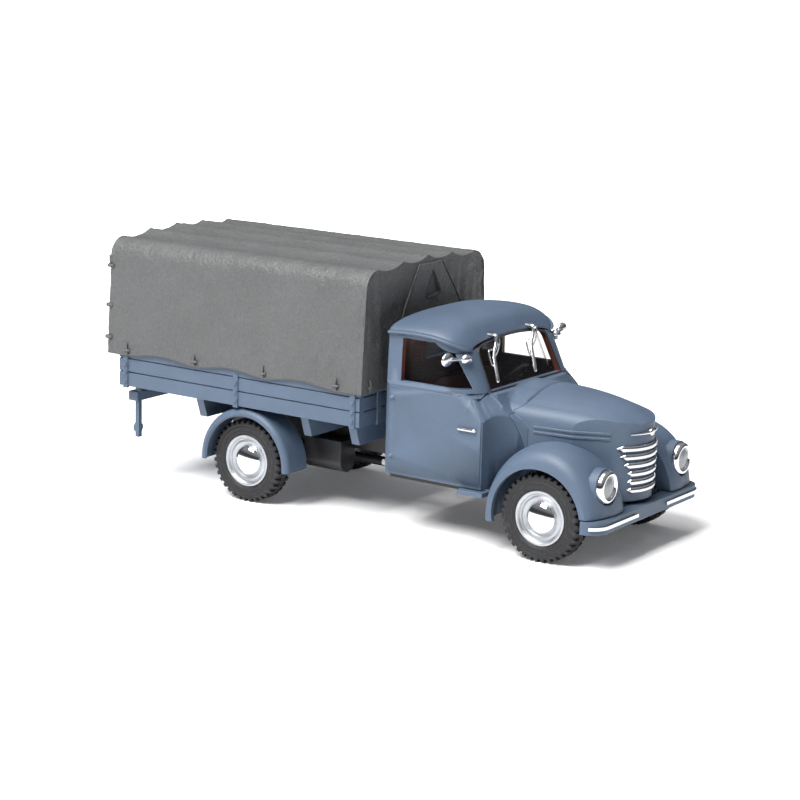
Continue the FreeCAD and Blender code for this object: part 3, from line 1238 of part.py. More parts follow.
def make_bed_end(label, outer, way):
    """Headboard or tailgate between the bed sides; way is the side that faces outwards."""
    body = new_body(label)
    half = "(bed_half - board_wall)"
    board = new_sketch(body, "XZ_Plane", label + "_board", away=along("%s - %d * board_wall / 2" % (outer, way)))
    box_outline(board, "-" + half, "bed_low", half, "bed_high")
    pad(body, board, "board_wall", both_ways=True)
    groove = new_sketch(body, "XZ_Plane", label + "_grooves", away=along(outer))
    for row in (1, 2):
        height = "bed_low + %d * plank_height" % row
        box_outline(groove, "-bed_half", height, "bed_half", "%s + groove" % height)
    pocket(body, groove, "2 * groove", both_ways=True)
    posts = new_sketch(body, "XZ_Plane", label + "_posts", away=along("%s - %d * post_root" % (outer, way)))
    for side in (-1, 1):
        place = "%d * end_post_side" % side
        box_outline(posts, "%s - post_width / 2" % place, "bed_low - post_drop", "%s + post_width / 2" % place,
                    "tilt_hem - fit")
    pad(body, posts, "post_root + post_proud", reverse=(way > 0))
    keep(body, label)


def make_bed_floor():
    """Bed floor with its three cross bearers, whose ends are cut back underneath."""
    body = new_body("bed_floor")
    half = "(bed_half - board_wall)"
    plate = new_sketch(body, "XY_Plane", "floor_plate", away="bed_low")
    box_outline(plate, "-" + half, "-bed_front_ahead + board_wall", half, "bed_rear_behind - board_wall")
    pad(body, plate, "floor_thick")
    reach = "(bed_half - bearer_inset)"
    for index, place in enumerate(BEARER_PLACES):
        beam = new_sketch(body, "XZ_Plane", "bearer_%d" % index, away=along(place))
        outline(beam, [
            ("-" + reach, "bed_low"), ("-(%s - bearer_rake)" % reach, "bearer_low + fit"),
            ("%s - bearer_rake" % reach, "bearer_low + fit"), (reach, "bed_low"),
            ("%s - bearer_rake" % reach, "bed_low + post_root"), ("-(%s - bearer_rake)" % reach, "bed_low + post_root"),
        ])
        pad(body, beam, "bearer_thick", reverse=True)
    keep(body, "bed_floor")


BEARER_PLACES = ("-bed_front_ahead + board_wall + bearer_front", "bearer_middle_behind", "bearer_rear_behind")


def make_guard(side_name, side):
    """Rear mudguard: a turned hoop with a rounded outer shoulder."""
    label = "rear_guard_" + side_name
    body = new_body(label)
    middle = along("(%s - guard_ahead)" % AXLE_PLACE["rear"])
    hoop = new_sketch(body, "XZ_Plane", label + "_section", away=middle, up="tyre_radius")
    inner = "%d * (bed_half - guard_inset)" % side
    outer = "%d * (bed_half + guard_overhang)" % side
    near = "%d * (bed_half + guard_overhang - guard_roll)" % side
    outline(hoop, [
        (inner, "guard_radius - guard_wall"), (inner, "guard_radius"),
        (near, "guard_radius", "%d * -guard_roll" % side), (outer, "guard_radius - guard_roll"),
        ("%s - %d * guard_wall / 2" % (outer, side), "guard_radius - guard_roll - guard_wall / 2"),
        (near, "guard_radius - guard_wall"),
    ])
    turned(body, hoop, 200, both_ways=True)
    under = new_sketch(body, "YZ_Plane", label + "_foot")
    box_outline(under, "0", "-guard_radius", "wheelbase", "guard_foot")
    pocket(body, under)
    keep(body, label)


def make_tail_bar():
    """Bar under the bed floor with a drop post and a lamp at each end."""
    body = new_body("tail_bar")
    half = "(bed_half - tail_bar_inset)"
    beam = new_sketch(body, "YZ_Plane", "tail_beam")
    box_outline(beam, "tail_bar_behind", "tail_bar_low", "tail_bar_behind + tail_bar_thick", "tail_bar_high")
    pad(body, beam, "2 * " + half, both_ways=True)
    drop = new_sketch(body, "XZ_Plane", "tail_posts", away=along("tail_bar_behind"))
    lamps = new_sketch(body, "XZ_Plane", "tail_lamps", away=along("tail_bar_behind + tail_post_width"))
    for side in (-1, 1):
        place = "%d * (%s - tail_post_inset)" % (side, half)
        box_outline(drop, "%s - tail_post_width / 2" % place, "tail_post_low", "%s + tail_post_width / 2" % place,
                    "bed_low - fit")
        circle(lamps, "%s - %d * tail_post_width" % (place, side), "tail_post_low + tail_lamp_high", "tail_lamp_radius")
    pad(body, drop, "tail_post_width", reverse=True)
    pad(body, lamps, "tail_lamp_depth", reverse=True)
    keep(body, "tail_bar")


def make_tilt():
    """Moulded tarpaulin: a closed cover with five ridges, a waved hem and a three-cornered front flap."""
    body = new_body("tilt")
    section = new_sketch(body, "XZ_Plane", "tilt_section", away=along("tilt_rear_behind"))
    inner_ridge = "ridge_outer + ridge_inner_rise"
    ridges = [("2 * ridge_pitch", "ridge_outer"), ("ridge_pitch", inner_ridge), ("0", "ridge_outer + ridge_middle_rise"),
              ("-ridge_pitch", inner_ridge), ("-2 * ridge_pitch", "ridge_outer")]
    low = "(bed_half + tilt_overhang)"
    high = "(bed_half + tilt_overhang - tilt_lean)"
    eaves = "ridge_outer - tilt_drop"
    corners = [("-" + low, "tilt_hem"), (low, "tilt_hem"), (high, eaves, "tilt_corner")]
    corners += [(x, z, "-sag_radius") for x, z in ridges[:-1]]
    corners += [ridges[-1] + ("tilt_corner",), ("-" + high, eaves)]
    outline(section, corners)
    pad(body, section, "tilt_rear_behind + tilt_front_ahead")
    inside = new_sketch(body, "XZ_Plane", "tilt_inside", away=along("tilt_rear_behind - tilt_wall"))
    boards = "(bed_half + skirt_gap - tilt_lean)"
    roof = "(2 * ridge_pitch - tilt_wall)"
    outline(inside, [
        ("-" + boards, "bed_high"), (boards, "bed_high"), ("%s - tilt_wall" % high, eaves, "tilt_corner"),
        (roof, "ridge_outer - 2 * tilt_wall"), ("-" + roof, "ridge_outer - 2 * tilt_wall", "tilt_corner"),
        ("-(%s - tilt_wall)" % high, eaves),
    ])
    pocket(body, inside, "tilt_rear_behind + tilt_front_ahead - 2 * tilt_wall", reverse=True)
    skirt = new_sketch(body, "XY_Plane", "tilt_skirt", away="tilt_hem - 1")
    box_outline(skirt, "-(bed_half + skirt_gap)", "-(tilt_front_ahead - skirt_wall)",
                "bed_half + skirt_gap", "tilt_rear_behind - tilt_wall")
    pocket(body, skirt, "bed_high - tilt_hem + 1 + fit", reverse=True)
    waves = new_sketch(body, "YZ_Plane", "hem_waves")
    for index in range(3):
        middle = "(fastener_rear_behind - (%d + 0.5) * fastener_pitch)" % index
        outline(waves, [
            ("%s - wave_half" % middle, "tilt_hem - scallop"), ("%s + wave_half" % middle, "tilt_hem - scallop"),
            ("%s + wave_half" % middle, "tilt_hem", dome("wave_half", "scallop")), ("%s - wave_half" % middle, "tilt_hem"),
        ])
    pocket(body, waves)
    flap = new_sketch(body, "XZ_Plane", "front_flap", away="tilt_front_ahead - flap_proud")
    top = "ridge_outer - skirt_wall"
    foot = "bed_high + flap_foot"
    outline(flap, [("-flap_half", foot), ("flap_half", foot), ("flap_proud", top), ("-flap_proud", top)])
    pad(body, flap, "2 * flap_proud")
    vent = new_sketch(body, "XZ_Plane", "flap_vent", away="tilt_front_ahead + flap_proud")
    outline(vent, [("-vent_half", "vent_low"), ("vent_half", "vent_low"), ("0", "vent_high")])
    pocket(body, vent, "vent_deep")
    keep(body, "tilt")


def make_interior():
    """Inside the cab: one moulding for floor and bench, the dashboard and the steering wheel."""
    body = new_body("cab_interior")
    lining = "(cab_wall + glass + 6 * fit)"
    rear = "-(cab_rear_ahead + %s)" % lining
    section = new_sketch(body, "YZ_Plane", "seat_and_floor")
    outline(section, [
        (rear, "tub_low"), ("-tub_front_ahead", "tub_low"), ("-tub_front_ahead", "tub_floor"),
        ("%s - seat_depth" % rear, "tub_floor"), ("%s - seat_depth" % rear, "seat_height"),
        ("%s - seat_back_thick" % rear, "seat_height"), ("%s - seat_back_thick / 2" % rear, "seat_back_top"),
        (rear, "seat_back_top"),
    ])
    pad(body, section, "2 * (cab_half - door_proud - %s)" % lining, both_ways=True)
    keep(body, "cab_interior")
    dash = new_body("dashboard")
    section = new_sketch(dash, "YZ_Plane", "dash_section")
    box_outline(section, "-dash_front_ahead", "dash_top - dash_height", "-(dash_front_ahead - dash_depth)", "dash_top")
    pad(dash, section, "2 * (cab_half - door_proud - cab_wall - fit)", both_ways=True)
    keep(dash, "dashboard")
    wheel = new_body("steering_wheel")
    rim = new_sketch(wheel, "XZ_Plane", "rim_section")
    circle(rim, "steering_radius", "0", "steering_rim")
    turned(wheel, rim, axis="V_Axis")
    spokes = new_sketch(wheel, "XY_Plane", "spoke_outlines", away="-spoke_half")
    box_outline(spokes, "-steering_radius", "-spoke_half", "steering_radius", "spoke_half")
    pad(wheel, spokes, "2 * spoke_half")
    column = new_sketch(wheel, "XY_Plane", "column_section")
    circle(column, "0", "0", "2 * spoke_half")
    pad(wheel, column, "column_length", reverse=True)
    place_turned(wheel, "steering_side", "-steering_ahead", "steering_height", "steering_tilt")
    keep(wheel, "steering_wheel")


def place_turned(body, x, y, z, tilt):
    """Places a body by its own Placement, turned about the crosswise axis."""
    turn = FreeCAD.Rotation(FreeCAD.Vector(1, 0, 0), number(tilt))
    body.Placement = FreeCAD.Placement(FreeCAD.Vector(number(x), number(y), number(z)), turn)
    body.setExpression("Placement.Rotation.Angle", bound(tilt))
    body.setExpression("Placement.Base.x", bound(x))
    body.setExpression("Placement.Base.y", bound(y))
    body.setExpression("Placement.Base.z", bound(z))


def make_pipe_and_tank():
    """Exhaust pipe end and fuel tank, both on the right under the bed."""
    body = new_body("exhaust_pipe")
    ring = new_sketch(body, "XZ_Plane", "pipe_section", away="pipe_end_ahead")
    circle(ring, "-pipe_side", "pipe_height", "pipe_radius")
    pad(body, ring, "cab_rear_ahead - pipe_end_ahead - fit")
    bore = new_sketch(body, "XZ_Plane", "pipe_bore_section", away="pipe_end_ahead")
    circle(bore, "-pipe_side", "pipe_height", "pipe_bore")
    pocket(body, bore, "pipe_bore_depth", reverse=True)
    keep(body, "exhaust_pipe")
    tank = new_body("fuel_tank")
    drum = new_sketch(tank, "XZ_Plane", "tank_section", away=along("tank_behind"))
    near = "-(frame_inner + frame_wall + fit)"
    far = "-(frame_inner + frame_wall + fit + 2 * tank_radius)"
    outline(drum, [(near, "tank_top"), (far, "tank_top"), (far, "tank_height", "tank_radius"), (near, "tank_height")])
    pad(tank, drum, "tank_length", reverse=True)
    keep(tank, "fuel_tank")


def make_handle(side_name, side):
    """Door handle: a bright bar with a foot at each end, lying on the door."""
    label = "door_handle_" + side_name
    body = new_body(label)
    section = new_sketch(body, "XY_Plane", label + "_plan", away="handle_height - handle_half")
    face = "(cab_half + fit)"
    far = "(cab_half + handle_proud)"
    front = "-handle_ahead"
    rear = "-(handle_ahead - handle_length)"
    outline(section, [
        ("%d * %s" % (side, face), front), ("%d * (%s - handle_half)" % (side, far), front),
        ("%d * %s" % (side, far), "%s + handle_half" % front), ("%d * %s" % (side, far), "%s - handle_half" % rear),
        ("%d * (%s - handle_half)" % (side, far), rear), ("%d * %s" % (side, face), rear),
    ])
    pad(body, section, "2 * handle_half")
    keep(body, label)


def make_wiper(side_name, side):
    """Wiper: a flat bright arm that hangs from its peg in front of the raked windscreen."""
    label = "wiper_" + side_name
    body = new_body(label)
    arm = new_sketch(body, "XZ_Plane", label + "_arm", away="wiper_gap")
    half = "(wiper_width / 2)"
    peg = "%d * wiper_side" % side
    tip = "(%s - wiper_lean)" % peg
    outline(arm, [
        ("%s - %s" % (tip, half), "wiper_tip"), ("%s + %s" % (tip, half), "wiper_tip"),
        ("%s + %s" % (peg, half), "wiper_peg"), ("%s - %s" % (peg, half), "wiper_peg"),
    ])
    pad(body, arm, "wiper_thick")
    place_turned(body, "0", "-screen_low_ahead", "screen_low", "-atan(screen_rake)")
    keep(body, label)


def make_mirror(side_name, side):
    """Mirror: an egg-shaped head on a short stalk from the window pillar."""
    label = "mirror_" + side_name
    body = new_body(label)
    profile = new_sketch(body, "XZ_Plane", label + "_profile", away="mirror_ahead", up="mirror_height")
    foot = "%d * mirror_foot" % side
    neck = "%d * mirror_neck" % side
    widest = "%d * (mirror_tip - mirror_radius)" % side
    tip = "%d * mirror_tip" % side
    outline(profile, [
        (foot, "0"), (foot, "1.6 * stalk_radius"), ("%s + %d * stalk_radius" % (foot, side), "stalk_radius"),
        (neck, "stalk_radius"), (widest, "mirror_radius", "%d * -mirror_radius" % side), (tip, "0"),
    ])
    turned(body, profile)
    keep(body, label)


for side_name, side in SIDES:
    make_wing(side_name, side)
    make_lamp(side_name, side)
    make_bed_side(side_name, side)
    make_guard(side_name, side)
    make_handle(side_name, side)
    make_wiper(side_name, side)
    make_mirror(side_name, side)
make_cab_and_bonnet()
make_glazing()
make_bumper()
make_grille()
make_bed_end("bed_headboard", "-bed_front_ahead", -1)
make_bed_end("bed_tailgate", "bed_rear_behind", 1)
make_bed_floor()
make_tail_bar()
make_tilt()
make_interior()
make_pipe_and_tank()


def check_everything():
    document.recompute()
    for item in document.Objects:
        if "Invalid" in item.State or "Error" in item.State:
            raise RuntimeError("%s failed: %s" % (item.Name, item.State))
    for label, piece in finished:
        if piece.Shape.isNull() or not piece.Shape.isValid():
            raise RuntimeError("%s has no valid shape" % label)


check_everything()
os.makedirs("parts", exist_ok=True)
for label, piece in finished:
    piece.Shape.exportStep("parts/%s.step" % label)
    print("%-24s solids %d volume %.3f" % (label, len(piece.Shape.Solids), piece.Shape.Volume))
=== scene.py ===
import math
import bmesh
import bpy
from mathutils import Matrix, Vector, noise


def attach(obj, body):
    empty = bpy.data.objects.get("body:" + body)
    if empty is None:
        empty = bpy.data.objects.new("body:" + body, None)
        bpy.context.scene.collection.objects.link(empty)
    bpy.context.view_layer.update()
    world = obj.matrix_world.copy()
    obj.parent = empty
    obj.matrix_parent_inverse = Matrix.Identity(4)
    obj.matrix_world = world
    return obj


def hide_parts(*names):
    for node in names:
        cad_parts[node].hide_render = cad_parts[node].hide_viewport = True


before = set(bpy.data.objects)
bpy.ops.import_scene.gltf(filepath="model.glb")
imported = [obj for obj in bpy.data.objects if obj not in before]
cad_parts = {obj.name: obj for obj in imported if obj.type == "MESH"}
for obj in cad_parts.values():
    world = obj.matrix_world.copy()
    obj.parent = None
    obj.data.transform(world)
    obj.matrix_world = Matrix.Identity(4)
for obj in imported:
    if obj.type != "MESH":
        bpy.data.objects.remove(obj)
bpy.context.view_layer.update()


# The camera stands where the photo was taken, in front of the lorry's right side and a little above it.
# It is a long lens on a small object, so the lines hardly converge.
MM = 0.001
view_azimuth = math.radians(-55.877)
view_elevation = math.radians(12.378)
view_roll = math.radians(1.503)
view_distance = 214.513 * MM
view_target = Vector((-5.403 * MM, -3.75 * MM, 11.388 * MM))
focal_pixels = 2350.7
picture_pixels = 800.0
sensor_width = 36.0

camera_data = bpy.data.cameras.new("photo_camera")
camera_data.sensor_width = sensor_width
camera_data.lens = focal_pixels / picture_pixels * sensor_width
camera_data.clip_start = 10 * MM
camera_data.clip_end = 20.0
camera = bpy.data.objects.new("photo_camera", camera_data)
bpy.context.scene.collection.objects.link(camera)
back = Vector((
    math.sin(view_azimuth) * math.cos(view_elevation),
    -math.cos(view_azimuth) * math.cos(view_elevation),
    math.sin(view_elevation),
))
right = (-back).cross(Vector((0, 0, 1))).normalized()
up = right.cross(-back)
rolled_right = right * math.cos(view_roll) + up * math.sin(view_roll)
rolled_up = up * math.cos(view_roll) - right * math.sin(view_roll)
facing = Matrix((rolled_right, rolled_up, back)).transposed()
camera.matrix_world = Matrix.Translation(view_target + back * view_distance) @ facing.to_4x4()
bpy.context.scene.camera = camera


# The chassis is one black plastic moulding: rails, cross members, springs, gearbox and floor of the cab.
# The fuel tank is of the same plastic. The tool leaves a fine even grain, and the edges are painted paler as
# a highlight.
def feed(node, inputs):
    """Each input gets a number, a vector, a colour or the output of another node."""
    for name, value in inputs.items():
        if isinstance(value, bpy.types.NodeSocket):
            node.id_data.links.new(value, node.inputs[name])
        else:
            node.inputs[name].default_value = value
    return node


def add_node(tree, kind, inputs, **settings):
    """One shader node with its settings and inputs."""
    made = tree.nodes.new(kind)
    for name, value in settings.items():
        setattr(made, name, value)
    return feed(made, inputs)


def spread(source, low, high, to_low, to_high):
    """A value between low and high is brought to the range from to_low to to_high."""
    return add_node(source.id_data, "ShaderNodeMapRange", {
        "Value": source, "From Min": low, "From Max": high, "To Min": to_low, "To Max": to_high,
    }).outputs["Result"]


def blend_colours(share, first, second):
    """The second colour over the first, by a share from 0 to 1."""
    sources = {0: share}
    for socket, colour in ((6, first), (7, second)):
        sources[socket] = colour if isinstance(colour, bpy.types.NodeSocket) else (*colour, 1)
    return add_node(share.id_data, "ShaderNodeMix", sources, data_type="RGBA").outputs[2]


def new_material(name):
    """A material, its shader, the tree of its nodes and the place on the piece in metres."""
    material = bpy.data.materials.new(name)
    material.use_nodes = True
    tree = material.node_tree
    place = add_node(tree, "ShaderNodeTexCoord", {}).outputs["Object"]
    return material, tree.nodes["Principled BSDF"], tree, place


def noise_at(place, scale, detail, distortion=0.0):
    """Soft random patches; scale says how many there are to a metre."""
    return add_node(place.id_data, "ShaderNodeTexNoise", {
        "Vector": place, "Scale": scale, "Detail": detail, "Distortion": distortion,
    }).outputs["Fac"]


def moulded(name, colour, roughness, edge_highlight_gain=1.5, grain=0.25, cloud=0.1, edge_radius=0.09):
    """Moulded plastic: clouds in its colour, edges painted paler as a highlight, specks of dust and the grain
    of a matt tool.
    """
    material, shader, tree, place = new_material(name)
    clouds = noise_at(place, 230.0, 4.0)
    specks = noise_at(place, 4200.0, 2.0)
    pores = noise_at(place, 9500.0, 2.0)
    rounded = add_node(tree, "ShaderNodeBevel", {"Radius": edge_radius * MM}, samples=4).outputs["Normal"]
    plain = add_node(tree, "ShaderNodeNewGeometry", {}).outputs["Normal"]
    compared = add_node(tree, "ShaderNodeVectorMath", {0: rounded, 1: plain}, operation="DOT_PRODUCT")
    # A painted highlight: edges found by the bevel normal are painted paler.
    edge = spread(compared.outputs["Value"], 0.995, 0.9, 0.0, 0.55)
    darker = tuple(part * (1 - cloud) for part in colour)
    lighter = tuple(part * (1 + cloud) for part in colour)
    dusty = tuple(min(part * 1.25 + 0.02, 1.0) for part in colour)
    edge_highlight_colour = tuple(min(part * edge_highlight_gain + 0.01, 1.0) for part in colour)
    body = blend_colours(spread(clouds, 0.35, 0.65, 0.0, 1.0), darker, lighter)
    dusted = blend_colours(spread(specks, 0.62, 0.75, 0.0, 0.3), body, dusty)
    feed(shader, {
        "Base Color": blend_colours(edge, dusted, edge_highlight_colour),
        "Roughness": spread(clouds, 0.3, 0.7, roughness - 0.05, roughness + 0.06),
        "IOR": 1.47,
        "Normal": add_node(tree, "ShaderNodeBump", {
            "Height": pores, "Normal": rounded, "Strength": grain, "Distance": 0.05 * MM,
        }).outputs["Normal"],
    })
    return material


def paint(material, *names):
    """Gives the material to CAD nodes."""
    for name in names:
        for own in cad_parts[name].material_slots:
            own.material = material


black_plastic = moulded("black_moulding", (0.01, 0.01, 0.012), 0.4, edge_highlight_gain=2.6)
paint(black_plastic, "chassis_frame", "fuel_tank")


# The axles are plain steel pins pressed into the discs. They run in the chassis with a little play.
# Turning leaves fine rings round them.
def metal(name, colour, roughness, grain=0.1, pitch=6000.0, stretch=(1.0, 1.0, 1.0)):
    """Bare or coated metal with fine marks; stretch makes them run one way."""
    material, shader, tree, place = new_material(name)
    scaled = add_node(tree, "ShaderNodeVectorMath", {0: place, 1: stretch}, operation="MULTIPLY")
    marks = noise_at(scaled.outputs["Vector"], pitch, 3.0)
    stains = noise_at(place, 700.0, 3.0)
    duller = tuple(part * 0.82 for part in colour)
    feed(shader, {
        "Base Color": blend_colours(spread(stains, 0.35, 0.65, 0.0, 1.0), colour, duller),
        "Roughness": spread(marks, 0.3, 0.7, roughness * 0.7, roughness * 1.4),
        "Metallic": 1.0,
        "Normal": add_node(tree, "ShaderNodeBump", {
            "Height": marks, "Strength": grain, "Distance": 0.03 * MM,
        }).outputs["Normal"],
    })
    return material


steel = metal("turned_steel", (0.55, 0.54, 0.52), 0.3, grain=0.3, stretch=(6.0, 1.0, 1.0))
paint(steel, "front_axle", "rear_axle")


# Each tyre is a soft plastic ring with thirty-six lugs on both shoulders and two grooves round the tread.
# The lugs run down over the shoulder, and moulded rings stand on its wall. It is stretched over the disc.
def mesh_piece(name, shape, sharp=None):
    """A piece from a finished shape in metres; edges sharper than the angle stay sharp."""
    mesh = bpy.data.meshes.new(name)
    shape.to_mesh(mesh)
    shape.free()
    if sharp is not None:
        mesh.shade_smooth()
        mesh.set_sharp_from_angle(angle=math.radians(sharp))
    piece = bpy.data.objects.new(name, mesh)
    bpy.context.scene.collection.objects.link(piece)
    return piece


def skin(name, rows, close_rows=False, close_ring=True, ends=False, sharp=35.0):
    """A mesh over rows of points in millimetres; a row is a line or a ring. Ends closes the outer rows."""
    count = len(rows[0])
    faces = []
    for row in range(len(rows) if close_rows else len(rows) - 1):
        following = (row + 1) % len(rows)
        for step in range(count if close_ring else count - 1):
            beside = (step + 1) % count
            faces.append((
                row * count + step, row * count + beside,
                following * count + beside, following * count + step,
            ))
    if ends:
        faces.append(tuple(range(count)))
        faces.append(tuple(range((len(rows) - 1) * count, len(rows) * count)))
    rough = bpy.data.meshes.new(name)
    rough.from_pydata([Vector(point) * MM for row in rows for point in row], [], faces)
    shape = bmesh.new()
    shape.from_mesh(rough)
    bpy.data.meshes.remove(rough)
    bmesh.ops.remove_doubles(shape, verts=shape.verts, dist=0.0005 * MM)
    bmesh.ops.recalc_face_normals(shape, faces=shape.faces)
    return mesh_piece(name, shape, sharp)


def fit(piece, body, material, slot, *nodes):
    """The piece gets its material, rides on a body and stands for these CAD nodes."""
    piece.data.materials.append(material)
    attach(piece, body)
    if nodes:
        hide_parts(*nodes)


tyre_rubber = moulded("tyre_rubber", (0.009, 0.009, 0.011), 0.58, edge_highlight_gain=2.2, grain=0.5)
shader = tyre_rubber.node_tree.nodes["Principled BSDF"]
place = add_node(tyre_rubber.node_tree, "ShaderNodeTexCoord", {}).outputs["Object"]
dust = spread(noise_at(place, 1900.0, 6.0), 0.56, 0.7, 0.0, 0.35)
feed(shader, {
    "Base Color": blend_colours(dust, shader.inputs["Base Color"].links[0].from_socket, (0.05, 0.05, 0.052)),
})
wheel_centre = 3.96
tyre_middle = 8.04
front_axle_y = -21.06
rear_axle_y = 11.14
lug_count = 36
# along one lug and its gap: share of the pitch, and whether the tread stands up there
lug_steps = ((0.0, 0.0), (0.06, 1.0), (0.3, 1.0), (0.52, 1.0), (0.58, 0.0), (0.8, 0.0))
# half of the tyre's section: outwards from its middle, radius on a lug, radius between lugs
tyre_half = (
    (0.0, 3.95, 3.93), (0.27, 3.95, 3.93), (0.29, 3.74, 3.74), (0.41, 3.74, 3.74), (0.43, 3.96, 3.74),
    (0.8, 3.93, 3.7), (0.92, 3.88, 3.64), (0.98, 3.78, 3.56), (1.0, 3.62, 3.48), (1.0, 3.46, 3.44),
    (0.985, 3.38, 3.38), (0.955, 3.34, 3.34), (0.955, 3.28, 3.28), (0.99, 3.24, 3.24), (0.99, 3.12, 3.12),
    (0.96, 3.07, 3.07), (0.945, 2.86, 2.86), (0.965, 2.82, 2.82), (0.965, 2.74, 2.74), (0.93, 2.68, 2.68),
    (0.88, 2.56, 2.56), (0.8, 2.47, 2.47), (0.66, 2.44, 2.44),
)
for axle, body, axle_y in (("front", "front_wheelset", front_axle_y), ("rear", "rear_wheelset", rear_axle_y)):
    for side, sign in (("left", 1), ("right", -1)):
        rows = []
        for lug in range(lug_count):
            for share, raised in lug_steps:
                angle = (lug + share) / lug_count * 2 * math.pi
                half = [(out, low + (high - low) * raised) for out, high, low in tyre_half]
                section = [(-out, radius) for out, radius in reversed(half[1:])] + half
                rows.append([
                    (sign * tyre_middle + out, axle_y + radius * math.cos(angle),
                     wheel_centre + radius * math.sin(angle))
                    for out, radius in section
                ])
        tyre = skin("tyre_%s_%s_tread" % (axle, side), rows, close_rows=True, sharp=28.0)
        fit(tyre, body, tyre_rubber, "tyre_rubber", "tyre_%s_%s" % (axle, side))


# The discs are plastic sprayed with silver: a turned rim, a shallow dish and a step up to the hub cap.
# The hub caps are polished domes pressed into them.
def turned(name, profile, centre, direction, steps=96, closed=False, sharp=30.0):
    """A turned piece: pairs of (along, radius) go round a line through the centre."""
    along = Vector(direction).normalized()
    across = along.orthogonal().normalized()
    other = along.cross(across)
    rows = []
    for step in range(steps):
        angle = 2 * math.pi * step / steps
        out = across * math.cos(angle) + other * math.sin(angle)
        rows.append([Vector(centre) + along * way + out * radius for way, radius in profile])
    return skin(name, rows, close_rows=True, close_ring=closed, sharp=sharp)


silver_paint = metal("silver_paint", (0.5, 0.52, 0.55), 0.42, grain=0.35, pitch=8000.0)
chrome = metal("polished_chrome", (0.78, 0.8, 0.83), 0.07, grain=0.03, pitch=3000.0)
disc_face = 8.94
disc_profile = (
    (-1.58, 0.53), (-1.6, 1.9), (-1.5, 2.3), (-1.45, 2.46), (-0.06, 2.46), (-0.01, 2.44), (0.0, 2.4),
    (0.0, 2.28), (-0.03, 2.22), (-0.12, 2.16), (-0.22, 2.1), (-0.26, 2.0), (-0.22, 1.92), (-0.17, 1.8),
    (-0.19, 1.68), (-0.25, 1.6), (-0.28, 1.52), (-0.3, 1.2), (-0.3, 0.53),
)
cap_profile = (
    (-0.34, 1.46), (-0.26, 1.47), (-0.2, 1.45), (-0.12, 1.4), (-0.02, 1.3), (0.08, 1.16), (0.17, 0.98),
    (0.24, 0.78), (0.3, 0.54), (0.33, 0.3), (0.345, 0.12), (0.35, 0.0),
)
for axle, body, axle_y in (("front", "front_wheelset", front_axle_y), ("rear", "rear_wheelset", rear_axle_y)):
    for side, sign in (("left", 1), ("right", -1)):
        centre = (sign * disc_face, axle_y, wheel_centre)
        disc = turned("disc_%s_%s" % (axle, side), disc_profile, centre, (sign, 0, 0), closed=True)
        fit(disc, body, silver_paint, "silver_plastic", "wheel_%s_%s" % (axle, side))
        cap = turned("hub_cap_%s_%s" % (axle, side), cap_profile, centre, (sign, 0, 0), sharp=60.0)
        fit(cap, body, chrome, "chrome_plated")


# A short end of the exhaust pipe shows behind the cab. It is a hollow peg of the frame's plastic,
# sprayed silver by hand, so its coat is coarse.
exhaust_silver = metal("exhaust_silver", (0.42, 0.42, 0.43), 0.45, grain=0.5)
paint(exhaust_silver, "exhaust_pipe")


# The cab, the bonnet and the two front wings are four mouldings in one matt grey-blue plastic.
# The doors, their hinges and the beads of the bonnet are part of the tool. The lining makes the inside brown.
blue_plastic = moulded("grey_blue_moulding", (0.068, 0.1, 0.152), 0.5, edge_highlight_gain=1.7, grain=0.3, cloud=0.06)
lining = moulded("brown_lining", (0.1, 0.026, 0.018), 0.5, edge_highlight_gain=1.8, grain=0.5)
wall = 0.4
# the doors: half width over both, how proud they stand, their front edge and the height where it bends back
door_half = 8.94
door_proud = 0.15
door_edge = 14.84
door_bend = 11.5
# the window pillars: the round of the foot, where it starts ahead, and the heights of the foot, sill and top
pillar_round = 2.7
pillar_start = 11.2
pillar_foot = 13.54
sill = 13.62
pillar_top = 16.9
# what is reshaped: sideways from here, between these places ahead, between these heights
corner_side = 5.0
corner_ahead = (10.6, 17.4)
corner_height = (10.3, 13.7)
# where the side is an inner face, where the reshaped skin is eased, and where the rails end
inner_side = 8.3
eased_side = 6.5
eased_height = 13.2
rail_end = 12.2
# the head of the windscreen in the middle plane, and how it drops to the sides
screen_head = 17.98
screen_drop = 0.0157


def curve_through(points, steps):
    """Points on a smooth curve through the given ones."""
    held = [Vector(point) for point in points]
    held = [2 * held[0] - held[1]] + held + [2 * held[-1] - held[-2]]
    path = []
    for start in range(1, len(held) - 2):
        before, here, there, after = held[start - 1:start + 3]
        for step in range(steps):
            share = step / steps
            path.append(0.5 * (
                2 * here
                + (there - before) * share
                + (2 * before - 5 * here + 4 * there - after) * share ** 2
                + (3 * here - before - 3 * there + after) * share ** 3
            ))
    path.append(held[-2])
    return path


def rod(name, points, sizes, up=(0, 0, 1), steps=5, sides=14, loop=False):
    """A rod along a smooth curve; sizes holds its half width and half height at each given point."""
    path = curve_through(points, steps)
    across = curve_through([(wide, high, 0) for wide, high in sizes], steps)
    if loop:
        path, across = path[:-1], across[:-1]
    rows = []
    for number, place in enumerate(path):
        after = path[(number + 1) % len(path)] if loop else path[min(number + 1, len(path) - 1)]
        before = path[number - 1] if loop else path[max(number - 1, 0)]
        ahead = (after - before).normalized()
        side = ahead.cross(Vector(up)).normalized()
        top = side.cross(ahead)
        rows.append([
            place + side * across[number].x * math.cos(2 * math.pi * step / sides)
            + top * across[number].y * math.sin(2 * math.pi * step / sides)
            for step in range(sides)
        ])
    return skin(name, rows, close_rows=loop, ends=not loop, sharp=50.0)


